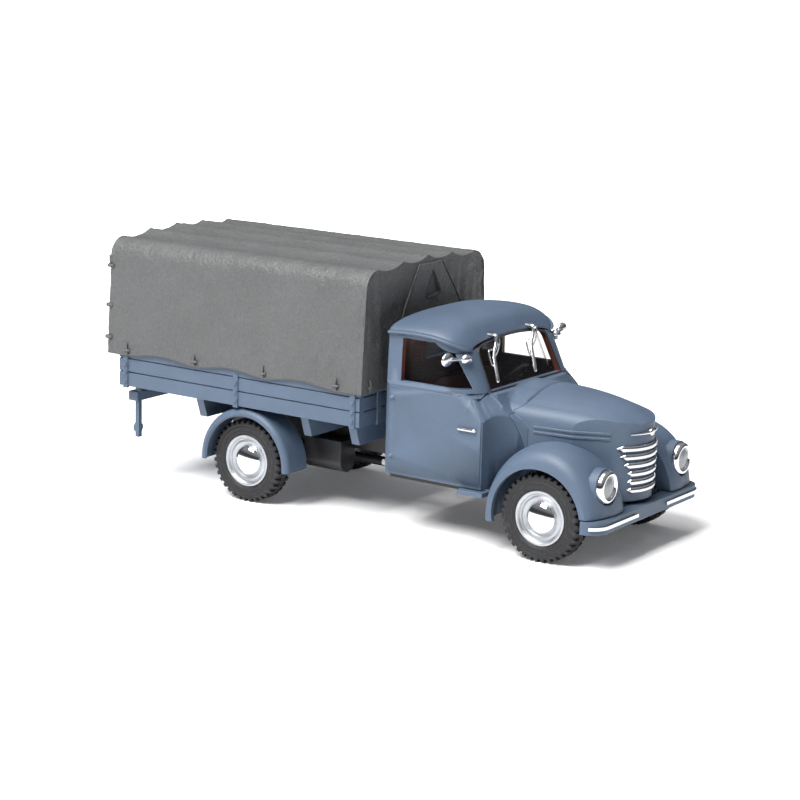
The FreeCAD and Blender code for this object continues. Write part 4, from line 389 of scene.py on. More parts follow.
def side_limit(ahead, height):
    """How far the side may stand from the middle: the door rolls in towards the foot of the window pillar."""
    start = pillar_start + 1.33 * max(pillar_foot - height, 0.0)
    past = min(max(ahead - start, 0.0), pillar_round * 0.985)
    rolled = pillar_round - math.sqrt(pillar_round ** 2 - past ** 2)
    door_end = door_edge - 0.394 * max(height - door_bend, 0.0) ** 1.4
    step = min(max((ahead - door_end) / 0.12, 0.0), 1.0)
    return door_half - rolled - door_proud * step


# the drip rail of one side: from the middle, ahead of the origin, height
rail_line = (
    (8.7, 4.6, 18.38), (8.7, 6.2, 18.47), (8.7, 7.7, 18.5), (8.62, 9.4, 18.38), (8.38, 10.6, 18.1),
    (8.0, 11.35, 17.82), (7.4, 11.9, 17.5), (6.6, 12.16, 17.3),
)
# the top of the roof in the middle plane, one point for each of the rail
crown_line = (
    (4.6, 19.58), (6.2, 19.78), (7.7, 19.87), (9.3, 19.82),
    (10.3, 19.6), (10.95, 19.22), (11.45, 18.6), (11.86, 17.95),
)


def rail_at(ahead):
    """The drip rail at a place along the cab: its distance from the middle and its height."""
    for (out, start, low), (next_out, end, high) in zip(rail_line, rail_line[1:]):
        if ahead <= end:
            share = max(ahead - start, 0.0) / (end - start)
            return out + (next_out - out) * share, low + (high - low) * share
    return rail_line[-1][0], rail_line[-1][2]


def under_roof(vertex):
    """Whether a point of the walls lies below the drip rail or the head of the windscreen."""
    x, y, z = vertex.co / MM
    return z < rail_at(-y)[1] + 0.02 or z < screen_head - screen_drop * x * x


def near_corner(vertex):
    """Whether a point is at the upper front corner of a door or up at the roof."""
    x, y, z = vertex.co / MM
    beside = abs(x) > corner_side and corner_ahead[0] < -y < corner_ahead[1]
    return z > pillar_top or (beside and corner_height[0] < z < corner_height[1])


def rolled_in(name, node, slot, materials):
    """A copy of a CAD node with the rounded corners of the doors; inner faces get the second material."""
    shape = bmesh.new()
    shape.from_mesh(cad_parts[node].data)
    bmesh.ops.remove_doubles(shape, verts=shape.verts, dist=0.002 * MM)
    for longest in (1.6, 0.8, 0.4, 0.24, 0.17):
        bmesh.ops.triangulate(shape, faces=[f for f in shape.faces if any(near_corner(v) for v in f.verts)])
        for cut in range(2):
            long_edges = [
                e for e in shape.edges
                if e.calc_length() > longest * MM and any(near_corner(v) for v in e.verts)
            ]
            bmesh.ops.subdivide_edges(shape, edges=long_edges, cuts=1)
    bmesh.ops.triangulate(shape, faces=[f for f in shape.faces if any(near_corner(v) for v in f.verts)])
    shape.normal_update()
    above = [f for f in shape.faces if not all(under_roof(v) for v in f.verts)]
    bmesh.ops.delete(shape, geom=above, context="FACES")

    moves = []
    for vertex in filter(near_corner, shape.verts):
        x, y, z = vertex.co / MM
        if z > pillar_top + 0.2 and -y < rail_end:
            limit = rail_at(-y)[0] - 0.12
        elif z <= sill:
            limit = side_limit(-y, z) - (wall if abs(x) < inner_side else 0.0)
        else:
            continue
        if abs(x) > limit:
            moves.append((vertex, math.copysign(limit, x)))
    for vertex, x in moves:
        vertex.co.x = x * MM
    eased = {vertex for vertex, x in moves if vertex.co.z / MM < eased_height}
    for ring in range(3):
        eased |= {edge.other_vert(vertex) for vertex in eased for edge in vertex.link_edges}
    eased = [
        v for v in eased
        if v.co.z / MM < eased_height and abs(v.co.x) / MM > eased_side and v.normal.x * v.co.x > 0
    ]
    sideways = {"use_axis_x": True, "use_axis_y": False, "use_axis_z": False}
    for turn in range(10):
        bmesh.ops.smooth_vert(shape, verts=eased, factor=0.5, **sideways)
    bmesh.ops.remove_doubles(shape, verts=shape.verts, dist=0.01 * MM)

    # what looks at the middle of the cab, between its rear wall and the foot of the windscreen, is lining
    middle = Vector((0, -9, 13))
    for face in shape.faces if len(materials) > 1 else ():
        place = face.calc_center_median() / MM
        between = 4.7 < -place.y < 13.9 and place.z > 5.5 and abs(place.x) < 8.75
        if between and (middle - place).dot(face.normal) > 0:
            face.material_index = 1
    piece = mesh_piece(name, shape, 28.0)
    fit(piece, "lorry_body", materials[0], slot, node)
    for more in materials[1:]:
        piece.data.materials.append(more)


rolled_in("cab_body", "cab_shell", "blue_plastic", [blue_plastic, lining])
rows = []
across_steps = 36
rail_path = curve_through(rail_line, 6)
crown_path = curve_through([(ahead, height, 0) for ahead, height in crown_line], 6)
for edge, crown in zip(rail_path, crown_path):
    row = []
    for step in range(across_steps + 1):
        angle = math.pi * (step / across_steps - 0.5)
        lift = math.cos(angle)
        wide = math.copysign(abs(math.sin(angle)) ** 0.8, angle) * (edge.x - 0.06)
        row.append((wide, -(edge.y + (crown.x - edge.y) * lift), edge.z + (crown.y - edge.z) * lift))
    rows.append(row)
roof = skin("cab_roof", rows, close_ring=False, sharp=60.0)
shape = bmesh.new()
shape.from_mesh(roof.data)
rear_y = -rail_line[0][1]
rear_ring = [v for v in shape.verts if abs(v.co.y / MM - rear_y) < 0.001]
shape.faces.new(sorted(rear_ring, key=lambda vertex: vertex.co.x))
bmesh.ops.recalc_face_normals(shape, faces=shape.faces)
shape.to_mesh(roof.data)
shape.free()
roof_wall = roof.modifiers.new("roof_wall", "SOLIDIFY")
roof_wall.thickness = wall * MM
roof_wall.offset = -1.0
fit(roof, "lorry_body", blue_plastic, "blue_plastic")
for side, sign in (("left", 1), ("right", -1)):
    rail = rod(
        "drip_rail_%s" % side,
        [(sign * (out + 0.08), -ahead - 0.03, height - 0.05) for out, ahead, height in rail_line],
        [(0.17, 0.15)] * (len(rail_line) - 1) + [(0.06, 0.05)], steps=6,
    )
    fit(rail, "lorry_body", blue_plastic, "blue_plastic")
paint(blue_plastic, "bonnet", "wing_left", "wing_right")
for side, sign in (("left", 1), ("right", -1)):
    nub = turned("lamp_nub_%s" % side, (
        (-0.2, 0.26), (0.1, 0.25), (0.24, 0.2), (0.32, 0.1), (0.34, 0.0),
    ), (sign * 8.12, -26.2, 5.45), (0, -1, -0.25), steps=32, sharp=60.0)
    fit(nub, "lorry_body", blue_plastic, "blue_plastic")


# The windows are one clear moulding pushed up inside the cab. It is thin and shows little but a reflection.
# A thin dark line of paint goes round the windscreen, like the rubber of the real one.
screen_rake = 0.476
screen_base = (13.87, 13.68)


def on_screen(across, height):
    """A point on the windscreen, which leans back from the foot given by screen_base: ahead and height."""
    return Vector((across, (height - screen_base[1]) * screen_rake - screen_base[0], height))


clear_plastic, shader, tree, place = new_material("clear_moulding")
waves = noise_at(place, 260.0, 1.0)
slant = add_node(tree, "ShaderNodeLayerWeight", {"Blend": 0.5}).outputs["Facing"]
feed(shader, {
    "Base Color": (0.04, 0.045, 0.05, 1),
    "Roughness": spread(waves, 0.3, 0.7, 0.01, 0.04),
    "IOR": 1.8,
    "Alpha": spread(slant, 0.35, 1.0, 0.03, 0.7),
    "Normal": add_node(tree, "ShaderNodeBump", {
        "Height": waves, "Strength": 0.08, "Distance": 0.1 * MM,
    }).outputs["Normal"],
})
paint(clear_plastic, "cab_glazing")
screen_edge = [
    (-6.05, 13.75), (-5.98, 15.0), (-5.87, 16.6), (-5.72, 17.15), (-5.2, 17.45), (-2.6, 17.73), (0.0, 17.83),
    (2.6, 17.73), (5.2, 17.45), (5.72, 17.15), (5.87, 16.6), (5.98, 15.0), (6.05, 13.75),
    (5.8, 13.66), (2.6, 13.66), (-2.6, 13.66), (-5.8, 13.66), (-6.05, 13.75),
]
surround = rod(
    "windscreen_surround", [on_screen(across, height) for across, height in screen_edge],
    [(0.085, 0.085)] * len(screen_edge), up=(0, -1, screen_rake), steps=6, loop=True,
)
dark_paint_and_painted_shade = moulded("dark_paint_and_painted_shade", (0.02, 0.018, 0.018), 0.45, grain=0.15)
fit(surround, "lorry_body", dark_paint_and_painted_shade, "dark_plastic")


# Behind the glass is a red-brown moulding: the bench seat with its back and the floor of the cab.
# The dashboard is dark, and a thin black steering wheel on the left stands on its column.
paint(lining, "cab_interior")
dash_plastic = moulded("dashboard_dark", (0.03, 0.03, 0.033), 0.4, edge_highlight_gain=2.0)
rolled_in("dashboard_panel", "dashboard", "dark_plastic", [dash_plastic])
wheel_middle = Vector((2.8, -10.9, 13.3))
wheel_lean = math.radians(50.0)
wheel_radius = 1.5
rim_steps = 24


def on_wheel(out, turn, lift=0.0):
    """A point of the leaning steering wheel: out from its middle, at this turn, lifted off its plane."""
    across, along = math.cos(turn) * out, math.sin(turn) * out
    return wheel_middle + Vector((
        across,
        along * math.cos(wheel_lean) + lift * math.sin(wheel_lean),
        lift * math.cos(wheel_lean) - along * math.sin(wheel_lean),
    ))


wheel_plastic = moulded("steering_wheel_black", (0.05, 0.042, 0.042), 0.26, edge_highlight_gain=2.0, grain=0.1)
rim_points = [on_wheel(wheel_radius, 2 * math.pi * step / rim_steps) for step in range(rim_steps + 1)]
wheel_rim = rod("steering_rim", rim_points, [(0.19, 0.19)] * (rim_steps + 1), steps=2, loop=True)
fit(wheel_rim, "lorry_body", wheel_plastic, "black_plastic", "steering_wheel")
for number, turn in enumerate((0.0, math.pi)):
    spoke = rod("steering_spoke_%d" % number, [
        on_wheel(0.1, turn, -0.1), on_wheel(0.8, turn, -0.12), on_wheel(1.45, turn),
    ], [(0.16, 0.1), (0.13, 0.09), (0.11, 0.09)])
    fit(spoke, "lorry_body", wheel_plastic, "black_plastic")
column = rod("steering_column_tube", [
    on_wheel(0.0, 0.0, 0.12), on_wheel(0.0, 0.0, -0.3), on_wheel(0.0, 0.0, -1.7),
], [(0.3, 0.3), (0.2, 0.2), (0.17, 0.17)])
fit(column, "lorry_body", wheel_plastic, "black_plastic")


# The front carries six thin bright bars round the nose and a spear with a plain round boss above them.
# They are moulded on the bonnet and foiled, so their ends run out to nothing and their crowns are round.
nose_middle_y = -23.1
nose_round = 3.6
bars = 6
bar_top = 9.71
bar_gap = 0.75
bar_sweep = 56.5
bar_shortening = 5.6
spear_height = 10.98
spear_sweep = 38.0
nose_steps = [step / 8 for step in range(-8, 9)]


def around_nose(angle, height, proud):
    """A point on the round nose, proud of its surface; the angle is in degrees from straight ahead."""
    turned_to = math.radians(angle)
    reach = nose_round + proud
    return Vector((math.sin(turned_to) * reach, nose_middle_y - math.cos(turned_to) * reach, height))


foil = metal("bright_foil", (0.68, 0.7, 0.73), 0.16, grain=0.2, pitch=2600.0)
for number in range(bars):
    sweep = bar_sweep - bar_shortening * min(number, bars // 2)
    height = bar_top - bar_gap * number
    fullness = [min(1.0, (1 - abs(share)) * 9 + 0.12) for share in nose_steps]
    bar = rod(
        "grille_bar_%d" % (number + 1), [around_nose(sweep * share, height, 0.1) for share in nose_steps],
        [(0.19 * full, 0.285 * full) for full in fullness], steps=4, sides=12,
    )
    nodes = ("grille_bars",) if number == 0 else ()
    fit(bar, "lorry_body", foil, "chrome_plated", *nodes)
spear = rod(
    "nose_spear", [around_nose(spear_sweep * share, spear_height, 0.12) for share in nose_steps],
    [(0.15 - 0.1 * abs(share), 0.16 - 0.11 * abs(share)) for share in nose_steps], steps=3, sides=12,
)
fit(spear, "lorry_body", foil, "chrome_plated", "nose_trim")
boss = turned("nose_boss", (
    (-0.1, 0.34), (0.12, 0.34), (0.2, 0.32), (0.26, 0.26), (0.3, 0.14), (0.31, 0.0),
), around_nose(0, spear_height, 0.05), (0, -1, 0), steps=48, sharp=60.0)
fit(boss, "lorry_body", foil, "chrome_plated")


# The headlamps are chromed rings pressed over bosses of the wings. Their wide lip rolls in to the glass.
# Each glass is a grey disc, domed and moulded with upright ribs.
ring_profile = (
    (0.0, 1.38), (0.0, 1.5), (0.16, 1.51), (0.32, 1.49), (0.46, 1.43), (0.56, 1.33), (0.61, 1.21),
    (0.6, 1.11), (0.55, 1.04), (0.47, 0.99), (0.38, 0.96), (0.3, 0.95), (0.26, 0.95), (0.2, 1.1), (0.1, 1.3),
)
lamp_glass = moulded("lamp_glass", (0.3, 0.32, 0.34), 0.16, edge_highlight_gain=1.3, grain=0.06, edge_radius=0.02)
lamp_glass.node_tree.nodes["Principled BSDF"].inputs["Coat Weight"].default_value = 0.6
lamp_across = 6.8
lamp_front = -26.15
lamp_height = 7.2
glass_radius = 0.98
glass_depth = 0.34
glass_bulge = 0.22
glass_rings = 12
glass_sides = 96
rib_pitch = 0.28
rib_rise = 0.035
for side, sign in (("left", 1), ("right", -1)):
    seat = Vector((sign * lamp_across, lamp_front, lamp_height))
    ring = turned("headlamp_ring_%s" % side, ring_profile, seat, (0, -1, 0), closed=True, sharp=50.0)
    fit(ring, "lorry_body", chrome, "chrome_plated", "headlamp_rim_%s" % side)
    rows = []
    for step in range(glass_rings + 1):
        radius = glass_radius * step / glass_rings
        bulge = glass_bulge * (1 - (radius / glass_radius) ** 2)
        row = []
        for part in range(glass_sides):
            angle = 2 * math.pi * part / glass_sides
            across = radius * math.cos(angle)
            edge_fade = min(1.0, (glass_radius - radius) * 6)
            rib = rib_rise * math.cos(across * 2 * math.pi / rib_pitch) * edge_fade
            row.append(seat + Vector((across, -glass_depth - bulge - rib, radius * math.sin(angle))))
        rows.append(row)
    lens = skin("headlamp_glass_%s" % side, rows, sharp=70.0)
    fit(lens, "lorry_body", lamp_glass, "clear_plastic", "headlamp_lens_%s" % side)


# The bumper is a blue moulding with rounded ends, pegged to the front of the frame.
# Two bright strips lie on its face, foiled on raised bands.
paint(blue_plastic, "front_bumper")
paint(foil, "bumper_strip_left", "bumper_strip_right")


# Each wiper is a bright moulded arm and blade. It hangs from a peg in a hole above the windscreen,
# with a thin link beside the arm and a small clip where the blade begins.
wiper_foil = metal("wiper_foil", (0.8, 0.82, 0.85), 0.2, grain=0.25, pitch=2200.0)
wiper_across = 3.2
wiper_face = (0, -1, 0.4)
for side, pivot_x in (("left", wiper_across), ("right", -wiper_across)):
    peg = rod("wiper_peg_%s" % side, [
        (pivot_x, -11.2, 18.2), (pivot_x, -11.8, 18.17),
        (pivot_x, -12.35, 18.13), (pivot_x - 0.02, -12.6, 18.0),
    ], [(0.15, 0.15), (0.17, 0.17), (0.24, 0.24), (0.2, 0.2)])
    fit(peg, "lorry_body", wiper_foil, "chrome_plated", "wiper_%s" % side)
    # A dark disc paints the shade inside the hole the peg stands in; the same material is the real dark paint
    # round the windscreen.
    hole = turned("wiper_hole_%s" % side, (
        (-0.05, 0.26), (0.03, 0.26), (0.05, 0.2), (0.05, 0.0),
    ), (pivot_x, -11.15, 18.22), (0, -0.97, 0.25), steps=24)
    fit(hole, "lorry_body", dark_paint_and_painted_shade, "dark_plastic")
    arm = rod("wiper_arm_%s" % side, [
        (pivot_x, -12.3, 18.25), (pivot_x - 0.08, -12.5, 17.8), (pivot_x - 0.3, -12.62, 17.3),
        (pivot_x - 0.6, -12.68, 16.9), (pivot_x - 0.95, -12.88, 16.5),
    ], [(0.2, 0.16), (0.19, 0.15), (0.17, 0.14), (0.16, 0.13), (0.2, 0.15)], up=wiper_face)
    fit(arm, "lorry_body", wiper_foil, "chrome_plated")
    blade = rod("wiper_blade_%s" % side, [
        (pivot_x - 0.85, -12.84, 16.62), (pivot_x - 0.98, -12.94, 16.3), (pivot_x - 1.25, -13.33, 15.4),
        (pivot_x - 1.5, -13.7, 14.55), (pivot_x - 1.57, -13.8, 14.3),
    ], [(0.12, 0.1), (0.2, 0.15), (0.22, 0.16), (0.22, 0.15), (0.1, 0.08)], up=wiper_face)
    fit(blade, "lorry_body", wiper_foil, "chrome_plated")
    link = rod("wiper_link_%s" % side, [
        (pivot_x + 0.5, -12.5, 17.85), (pivot_x + 0.3, -12.62, 17.3), (pivot_x - 0.2, -12.78, 16.8),
        (pivot_x - 0.85, -12.92, 16.4),
    ], [(0.07, 0.07)] * 4, up=wiper_face)
    fit(link, "lorry_body", wiper_foil, "chrome_plated")
    clip = rod("wiper_clip_%s" % side, [
        (pivot_x - 0.75, -12.55, 17.05), (pivot_x - 1.3, -12.55, 17.02), (pivot_x - 1.42, -12.75, 16.5),
        (pivot_x - 1.5, -13.05, 15.85), (pivot_x - 1.2, -13.18, 15.6),
    ], [(0.07, 0.07)] * 5, up=wiper_face)
    fit(clip, "lorry_body", wiper_foil, "chrome_plated")


# The mirrors are bright mouldings: an oval head, a thin neck and a bulb.
# The bulb's pin is pushed into a hole of the door pillar.
def ball(name, centre, sizes, steps=24):
    """A rounded head, like an egg, with three half sizes."""
    rows = []
    for row in range(steps + 1):
        height = -math.cos(math.pi * row / steps)
        reach = math.sin(math.pi * row / steps)
        rows.append([
            Vector(centre) + Vector((
                sizes[0] * reach * math.cos(math.pi * part / steps),
                sizes[1] * reach * math.sin(math.pi * part / steps),
                sizes[2] * height,
            )) for part in range(2 * steps)
        ])
    return skin(name, rows, sharp=80.0)


for side, sign in (("left", 1), ("right", -1)):
    neck = rod("mirror_neck_%s" % side, [
        (sign * 7.3, -12.35, 16.62), (sign * 8.0, -12.1, 16.68),
        (sign * 8.7, -11.9, 16.74), (sign * 9.6, -11.65, 16.8),
    ], [(0.3, 0.34), (0.2, 0.24), (0.16, 0.17), (0.3, 0.32)])
    fit(neck, "lorry_body", wiper_foil, "chrome_plated", "mirror_%s" % side)
    head = ball("mirror_head_%s" % side, (sign * 9.8, -11.6, 16.84), (0.8, 0.36, 0.64))
    fit(head, "lorry_body", wiper_foil, "chrome_plated")
    bulb = ball("mirror_bulb_%s" % side, (sign * 7.75, -12.2, 16.68), (0.52, 0.47, 0.48))
    fit(bulb, "lorry_body", wiper_foil, "chrome_plated")


# The door handles are flat bars with round ends. They belong to the cab's moulding,
# and a bright foil is rolled on them.
handle_face = 9.14
handle_ends = 9.08
handle_height = 10.72
for side, sign in (("left", 1), ("right", -1)):
    handle = rod("door_handle_bar_%s" % side, [
        (sign * out, along, handle_height) for out, along in (
            (handle_ends, -14.28), (handle_face, -14.2), (handle_face, -13.4),
            (handle_face, -12.56), (handle_ends, -12.48),
        )
    ], [(0.05, 0.07), (0.11, 0.145), (0.12, 0.15), (0.11, 0.145), (0.05, 0.07)], steps=4)
    fit(handle, "lorry_body", foil, "silver_plastic", "door_handle_%s" % side)


# The bed is moulded in the same blue: a floor on bearers, a headboard, two sides and a tailgate of two
# planks, with posts and studs. The rear mudguards and the bar of the tail lamps hang under it.
paint(
    blue_plastic, "bed_floor", "bed_headboard", "bed_side_left", "bed_side_right", "bed_tailgate",
    "rear_guard_left", "rear_guard_right", "tail_bar",
)


# The tilt is one hard grey moulding made to look like cloth over five hoops.
# It sags between them, wrinkles near its front corners, and its hem waves between the fasteners.
tilt_front = -2.83
tilt_rear = 27.23
tilt_hem = 12.4
corner_start = 21.7
half_low = 10.27
half_high = 9.8
ridge_side = 8.0
ridge_low = 23.6
ridges = ((-ridge_side, ridge_low), (-4.0, 23.9), (0.0, 24.05), (4.0, 23.9), (ridge_side, ridge_low))
sag = 0.4
side_rows = 44
hoop_steps = 10
corner_steps = 12
fasteners = (24.75, 16.46, 8.28, 0.0)
scallop = 0.4
# wrinkles of the sides: place of the foot, lean, width, how far it stands out, and how high it reaches
wrinkles = (
    (2.2, 0.42, 0.42, 0.2, 7.2), (3.9, 0.36, 0.5, 0.17, 6.4), (5.9, 0.3, 0.6, 0.13, 7.6),
    (24.2, -0.32, 0.5, 0.12, 5.0),
)


def hem_at(along):
    """Height of the hem, which rises a little between two fasteners."""
    if along <= fasteners[-1] or along >= fasteners[0]:
        return tilt_hem
    step = (fasteners[0] - along) / (fasteners[0] - fasteners[-1]) * (len(fasteners) - 1)
    return tilt_hem + scallop * math.sin(math.pi * (step % 1.0)) ** 1.5


def roof_line():
    """The section of the roof from the left corner to the right one."""
    line = []
    for step in range(corner_steps):
        angle = math.pi / 2 * step / corner_steps
        line.append((
            -ridge_side - (half_high - ridge_side) * math.cos(angle),
            corner_start + (ridge_low - corner_start) * math.sin(angle),
        ))
    for (start_x, start_z), (end_x, end_z) in zip(ridges, ridges[1:]):
        for step in range(hoop_steps):
            share = step / hoop_steps
            line.append((
                start_x + (end_x - start_x) * share,
                start_z + (end_z - start_z) * share - sag * (1 - (2 * share - 1) ** 2),
            ))
    left = line[:corner_steps]
    return line + [ridges[-1]] + [(-x, z) for x, z in reversed(left)]


def folds(place, outward):
    """How far the moulded cloth stands out at a point."""
    high = min(max((place.z - tilt_hem) / (corner_start - tilt_hem), 0.0), 1.0)
    level = min(high * 8, 1.0) * min(max((24.6 - place.z) / 2.0, 0.15), 1.0)
    small = noise.noise(place * 0.9) * 0.07 + noise.noise(place * 2.2 + Vector((9, 2, 4))) * 0.035
    if abs(outward.y) > 0.7:
        upright = noise.noise(Vector((place.x * 1.5, 3.0 if outward.y < 0 else 8.0, place.z * 0.16)))
        return (small + upright * 0.13) * level
    if abs(outward.x) > 0.5:
        depth = 0.0
        up_by = place.z - tilt_hem
        for foot, lean, width, rise, reach in wrinkles:
            off = (place.y - foot + lean * up_by) / width
            fade = min(up_by / 1.5, 1.0) * max(0.0, 1.0 - up_by / reach)
            depth += rise * math.exp(-off * off) * fade
        return (small + depth + noise.noise(Vector((place.y * 0.35, place.z * 0.5, 5.0))) * 0.1) * level
    return small * 0.6


hoop_line = roof_line()
tilt_length = tilt_rear - tilt_front
seam_in = 0.5
end_strip = 0.75
cloth_steps = 120
lengthwise = [0.0, 0.12, 0.3, 0.42, seam_in, 0.58, end_strip]
inner_length = tilt_length - 2 * end_strip
lengthwise += [end_strip + inner_length * step / cloth_steps for step in range(1, cloth_steps)]
lengthwise += [tilt_length - back_by for back_by in (end_strip, seam_in, 0.3, 0.12, 0.0)]
shape = bmesh.new()


def lay_rows(rows):
    """Adds a sheet of points to the tilt."""
    placed = [[shape.verts.new(point) for point in row] for row in rows]
    for row, following in zip(placed, placed[1:]):
        for number in range(len(row) - 1):
            shape.faces.new((row[number], row[number + 1], following[number + 1], following[number]))


rows = []
for along in lengthwise:
    y = tilt_front + along
    hem = hem_at(y)
    on_seam = abs(along - seam_in) < 0.02 or abs(along - (tilt_length - seam_in)) < 0.02
    seam = -0.05 if on_seam else 0.0
    left = []
    for step in range(side_rows):
        share = step / side_rows
        z = hem + (corner_start - hem) * share
        x = half_low + (half_high - half_low) * (z - tilt_hem) / (corner_start - tilt_hem)
        left.append(Vector((-x - seam, y, z)))
    top = [Vector((x, y, z + (seam if z > 22.5 else 0.0))) for x, z in hoop_line]
    rows.append(left + top + [Vector((-point.x, point.y, point.z)) for point in reversed(left)])
lay_rows(rows)
for y in (tilt_front, tilt_rear):
    panel = []
    for step in range(side_rows + 1):
        share = step / side_rows
        panel.append([
            Vector((
                -half_low + 2 * half_low * number / (len(hoop_line) - 1), y, tilt_hem,
            )).lerp(Vector((x, y, z)), share) for number, (x, z) in enumerate(hoop_line)
        ])
    lay_rows(panel)
bmesh.ops.remove_doubles(shape, verts=shape.verts, dist=0.01)
bmesh.ops.recalc_face_normals(shape, faces=shape.faces)
shape.normal_update()
moves = [(vertex, vertex.normal * folds(vertex.co, vertex.normal)) for vertex in shape.verts]
for vertex, move in moves:
    vertex.co += move
for vertex in shape.verts:
    vertex.co *= MM
tilt = mesh_piece("tilt_cover", shape, 180.0)
soft_edges = tilt.modifiers.new("soft_edges", "BEVEL")
soft_edges.width = 0.16 * MM
soft_edges.segments = 3
soft_edges.limit_method = "ANGLE"
soft_edges.angle_limit = math.radians(50)
shell = tilt.modifiers.new("shell", "SOLIDIFY")
shell.thickness = 0.2 * MM
shell.offset = -1.0


def cloth_like(name, colour):
    """Matt grey plastic with the fine weave and small creases of canvas, painted shade in the low points of
    the weave, and ridges painted paler as a highlight.
    """
    material = moulded(name, colour, 0.52, edge_highlight_gain=1.35, grain=0.2, cloud=0.05, edge_radius=0.14)
    tree = material.node_tree
    shader = tree.nodes["Principled BSDF"]
    place = add_node(tree, "ShaderNodeTexCoord", {}).outputs["Object"]
    weave = noise_at(place, 3600.0, 3.0)
    fine = add_node(tree, "ShaderNodeBump", {
        "Height": weave, "Normal": shader.inputs["Normal"].links[0].from_socket,
        "Strength": 0.7, "Distance": 0.14 * MM,
    })
    coarse = add_node(tree, "ShaderNodeBump", {
        "Height": noise_at(place, 900.0, 4.0, 0.6), "Normal": fine.outputs["Normal"],
        "Strength": 0.5, "Distance": 0.3 * MM,
    })
    # Painted shade: the low points of the weave's bump are painted darker.
    weave_hollow_shade = tuple(part * 0.45 for part in colour)
    weave_shade_share = spread(weave, 0.35, 0.68, 0.25, 0.0)
    feed(shader, {
        "Normal": coarse.outputs["Normal"],
        "Base Color": blend_colours(weave_shade_share, shader.inputs["Base Color"].links[0].from_socket, weave_hollow_shade),
    })
    return material


tilt_grey = cloth_like("tilt_grey", (0.088, 0.092, 0.094))
fit(tilt, "lorry_body", tilt_grey, "tilt_plastic", "tilt")


# The front of the tilt has a flap with a three-cornered vent in it, all in the same moulding.
# Dark lines paint the shade along the stitched edges of the flap and the vent.
shape = bmesh.new()
flap_outline = ((-1.56, 23.35), (-4.15, 18.85), (-5.6, 14.55), (7.0, 14.55), (5.47, 18.85), (2.07, 23.35))
vent_outline = ((0.57, 22.64), (-0.45, 20.18), (1.84, 20.43))
edges = []
for outline in (flap_outline, vent_outline):
    corners = [shape.verts.new(Vector((x, tilt_front - 0.02, z)) * MM) for x, z in outline]
    for number, corner in enumerate(corners):
        edges.append(shape.edges.new((corner, corners[(number + 1) % len(corners)])))
bmesh.ops.triangle_fill(shape, edges=edges, use_beauty=True, use_dissolve=False)
bmesh.ops.recalc_face_normals(shape, faces=shape.faces)
flap = mesh_piece("tilt_flap", shape)
thick = flap.modifiers.new("thick", "SOLIDIFY")
thick.thickness = 0.36 * MM
thick.offset = 0.0
soft_edges = flap.modifiers.new("soft_edges", "BEVEL")
soft_edges.width = 0.08 * MM
soft_edges.segments = 2
fit(flap, "lorry_body", tilt_grey, "tilt_plastic")
# The seam rods are a near black grey: painted shade in the stitched edges.
painted_seam_shade = cloth_like("tilt_seam_painted_shade", (0.022, 0.023, 0.025))
for name, line in (
    ("flap_seam_right", flap_outline[:3]), ("flap_seam_left", flap_outline[3:]),
    ("vent_seam", vent_outline + vent_outline[:1]),
):
    corners = [(x, tilt_front - 0.2, z) for x, z in line]
    welt = rod(name, corners, [(0.07, 0.05)] * len(line), up=(0, -1, 0), steps=8)
    fit(welt, "lorry_body", painted_seam_shade, "tilt_plastic")


# Small straps with a cross bar hold the hem along both sides and at the front corners, and hooks the rear
# edge. On the model they are bumps of the tilt's own grey moulding.
strap_height = 12.98
front_strap = 9.0
hook_heights = (20.9, 17.1, 14.0)
for side, sign in (("left", 1), ("right", -1)):
    spots = [(sign * (half_low + 0.02), along, strap_height, (sign, 0, 0)) for along in fasteners]
    spots.append((sign * front_strap, tilt_front - 0.02, strap_height, (0, -1, 0)))
    for number, (x, y, z, out) in enumerate(spots):
        spot = Vector((x, y, z))
        outward = Vector(out)
        upward = Vector((0, 0, 1))
        strap = rod("hem_strap_%s_%d" % (side, number + 1), [
            spot - upward * 0.42 + outward * 0.03, spot - upward * 0.1 + outward * 0.1,
            spot + upward * 0.35 + outward * 0.1, spot + upward * 0.72,
        ], [(0.16, 0.09), (0.12, 0.11), (0.1, 0.1), (0.05, 0.05)], up=out)
        fit(strap, "lorry_body", tilt_grey, "tilt_plastic")
        along_hem = Vector((0, 0.38, 0)) if out[0] else Vector((0.38, 0, 0))
        bar = rod("hem_bar_%s_%d" % (side, number + 1), [
            spot - along_hem + outward * 0.1, spot + outward * 0.16, spot + along_hem + outward * 0.1,
        ], [(0.1, 0.1), (0.13, 0.13), (0.1, 0.1)], up=out)
        fit(bar, "lorry_body", tilt_grey, "tilt_plastic")
    for number, z in enumerate(hook_heights):
        x = half_low - (half_low - half_high) * (z - tilt_hem) / (corner_start - tilt_hem)
        hook = rod("edge_hook_%s_%d" % (side, number + 1), [
            (sign * (x + 0.05), tilt_rear - 0.5, z), (sign * (x + 0.2), tilt_rear - 0.1, z),
            (sign * (x - 0.05), tilt_rear + 0.22, z), (sign * (x - 0.5), tilt_rear + 0.1, z),
        ], [(0.1, 0.12), (0.16, 0.17), (0.16, 0.17), (0.1, 0.12)])
        fit(hook, "lorry_body", tilt_grey, "tilt_plastic")


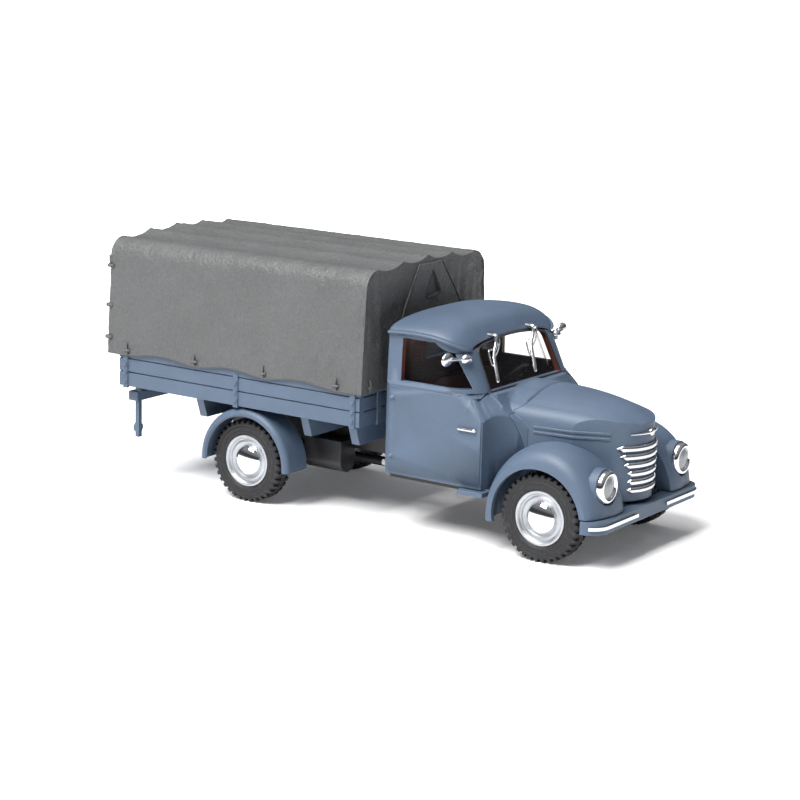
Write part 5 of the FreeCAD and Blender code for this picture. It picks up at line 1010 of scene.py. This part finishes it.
# A wide white table carries the lorry, lit by two soft square lamps above it and pale walls all round.
# The table and the walls stay white in the picture, and only the soft shadow shows.
bpy.ops.mesh.primitive_plane_add(size=40.0, location=(0, 0, 0))
table = bpy.context.object
table.name = "studio_table"
table_white, shader, tree, place = new_material("table_white")
glow_start = 45 * MM
glow_full = 160 * MM
paper = spread(noise_at(place, 60.0, 3.0), 0.3, 0.7, 0.0, 1.0)
away = add_node(tree, "ShaderNodeVectorMath", {0: place}, operation="LENGTH").outputs["Value"]
path = add_node(tree, "ShaderNodeLightPath", {})
table_glow = add_node(tree, "ShaderNodeMath", {
    0: spread(away, glow_start, glow_full, 0.08, 1.2), 1: path.outputs["Is Camera Ray"],
}, operation="MULTIPLY")
feed(shader, {
    "Base Color": blend_colours(paper, (0.93, 0.935, 0.95), (0.95, 0.95, 0.96)),
    "Roughness": 0.9,
    "Specular IOR Level": 0.1,
    "Emission Color": (1, 1, 1, 1),
    "Emission Strength": table_glow.outputs[0],
})
table.data.materials.append(table_white)

world = bpy.data.worlds.new("studio")
bpy.context.scene.world = world
world.use_nodes = True
air = world.node_tree
direct = feed(air.nodes["Background"], {"Color": (1, 1, 1, 1), "Strength": 1.0})
sky = add_node(air, "ShaderNodeTexCoord", {})
heights = add_node(air, "ShaderNodeSeparateXYZ", {"Vector": sky.outputs["Generated"]})
walls = add_node(air, "ShaderNodeValToRGB", {"Fac": heights.outputs["Z"]})
ramp = walls.color_ramp
ramp.elements[0].position = 0.0
ramp.elements[0].color = (0.7, 0.72, 0.76, 1)
ramp.elements[1].position = 1.0
ramp.elements[1].color = (1, 1, 1, 1)
for position, tone in ((0.06, 0.25), (0.2, 0.12), (0.33, 0.5), (0.6, 0.95)):
    ramp.elements.new(position).color = (tone, tone, tone * 1.04, 1)
around = add_node(air, "ShaderNodeBackground", {"Color": walls.outputs["Color"], "Strength": 0.34})
which = add_node(air, "ShaderNodeLightPath", {})
choose = add_node(air, "ShaderNodeMixShader", {
    0: which.outputs["Is Camera Ray"], 1: around.outputs["Background"], 2: direct.outputs["Background"],
})
feed(air.nodes["World Output"], {"Surface": choose.outputs["Shader"]})

lamp_aim = Vector((0, 0, 10 * MM))
for name, place, size, power in (
    ("soft_lamp", (-0.27, 0.05, 0.4), 0.26, 4.6),
    ("top_lamp", (0.0, 0.05, 0.5), 0.3, 0.8),
):
    light = bpy.data.lights.new(name, "AREA")
    light.shape = "SQUARE"
    light.size = size
    light.energy = power
    light.color = (1.0, 0.99, 0.97)
    lamp = bpy.data.objects.new(name, light)
    lamp.location = place
    lamp.rotation_euler = (lamp_aim - Vector(place)).to_track_quat("-Z", "Y").to_euler()
    bpy.context.scene.collection.objects.link(lamp)
bpy.context.scene.view_settings.view_transform = "Standard"
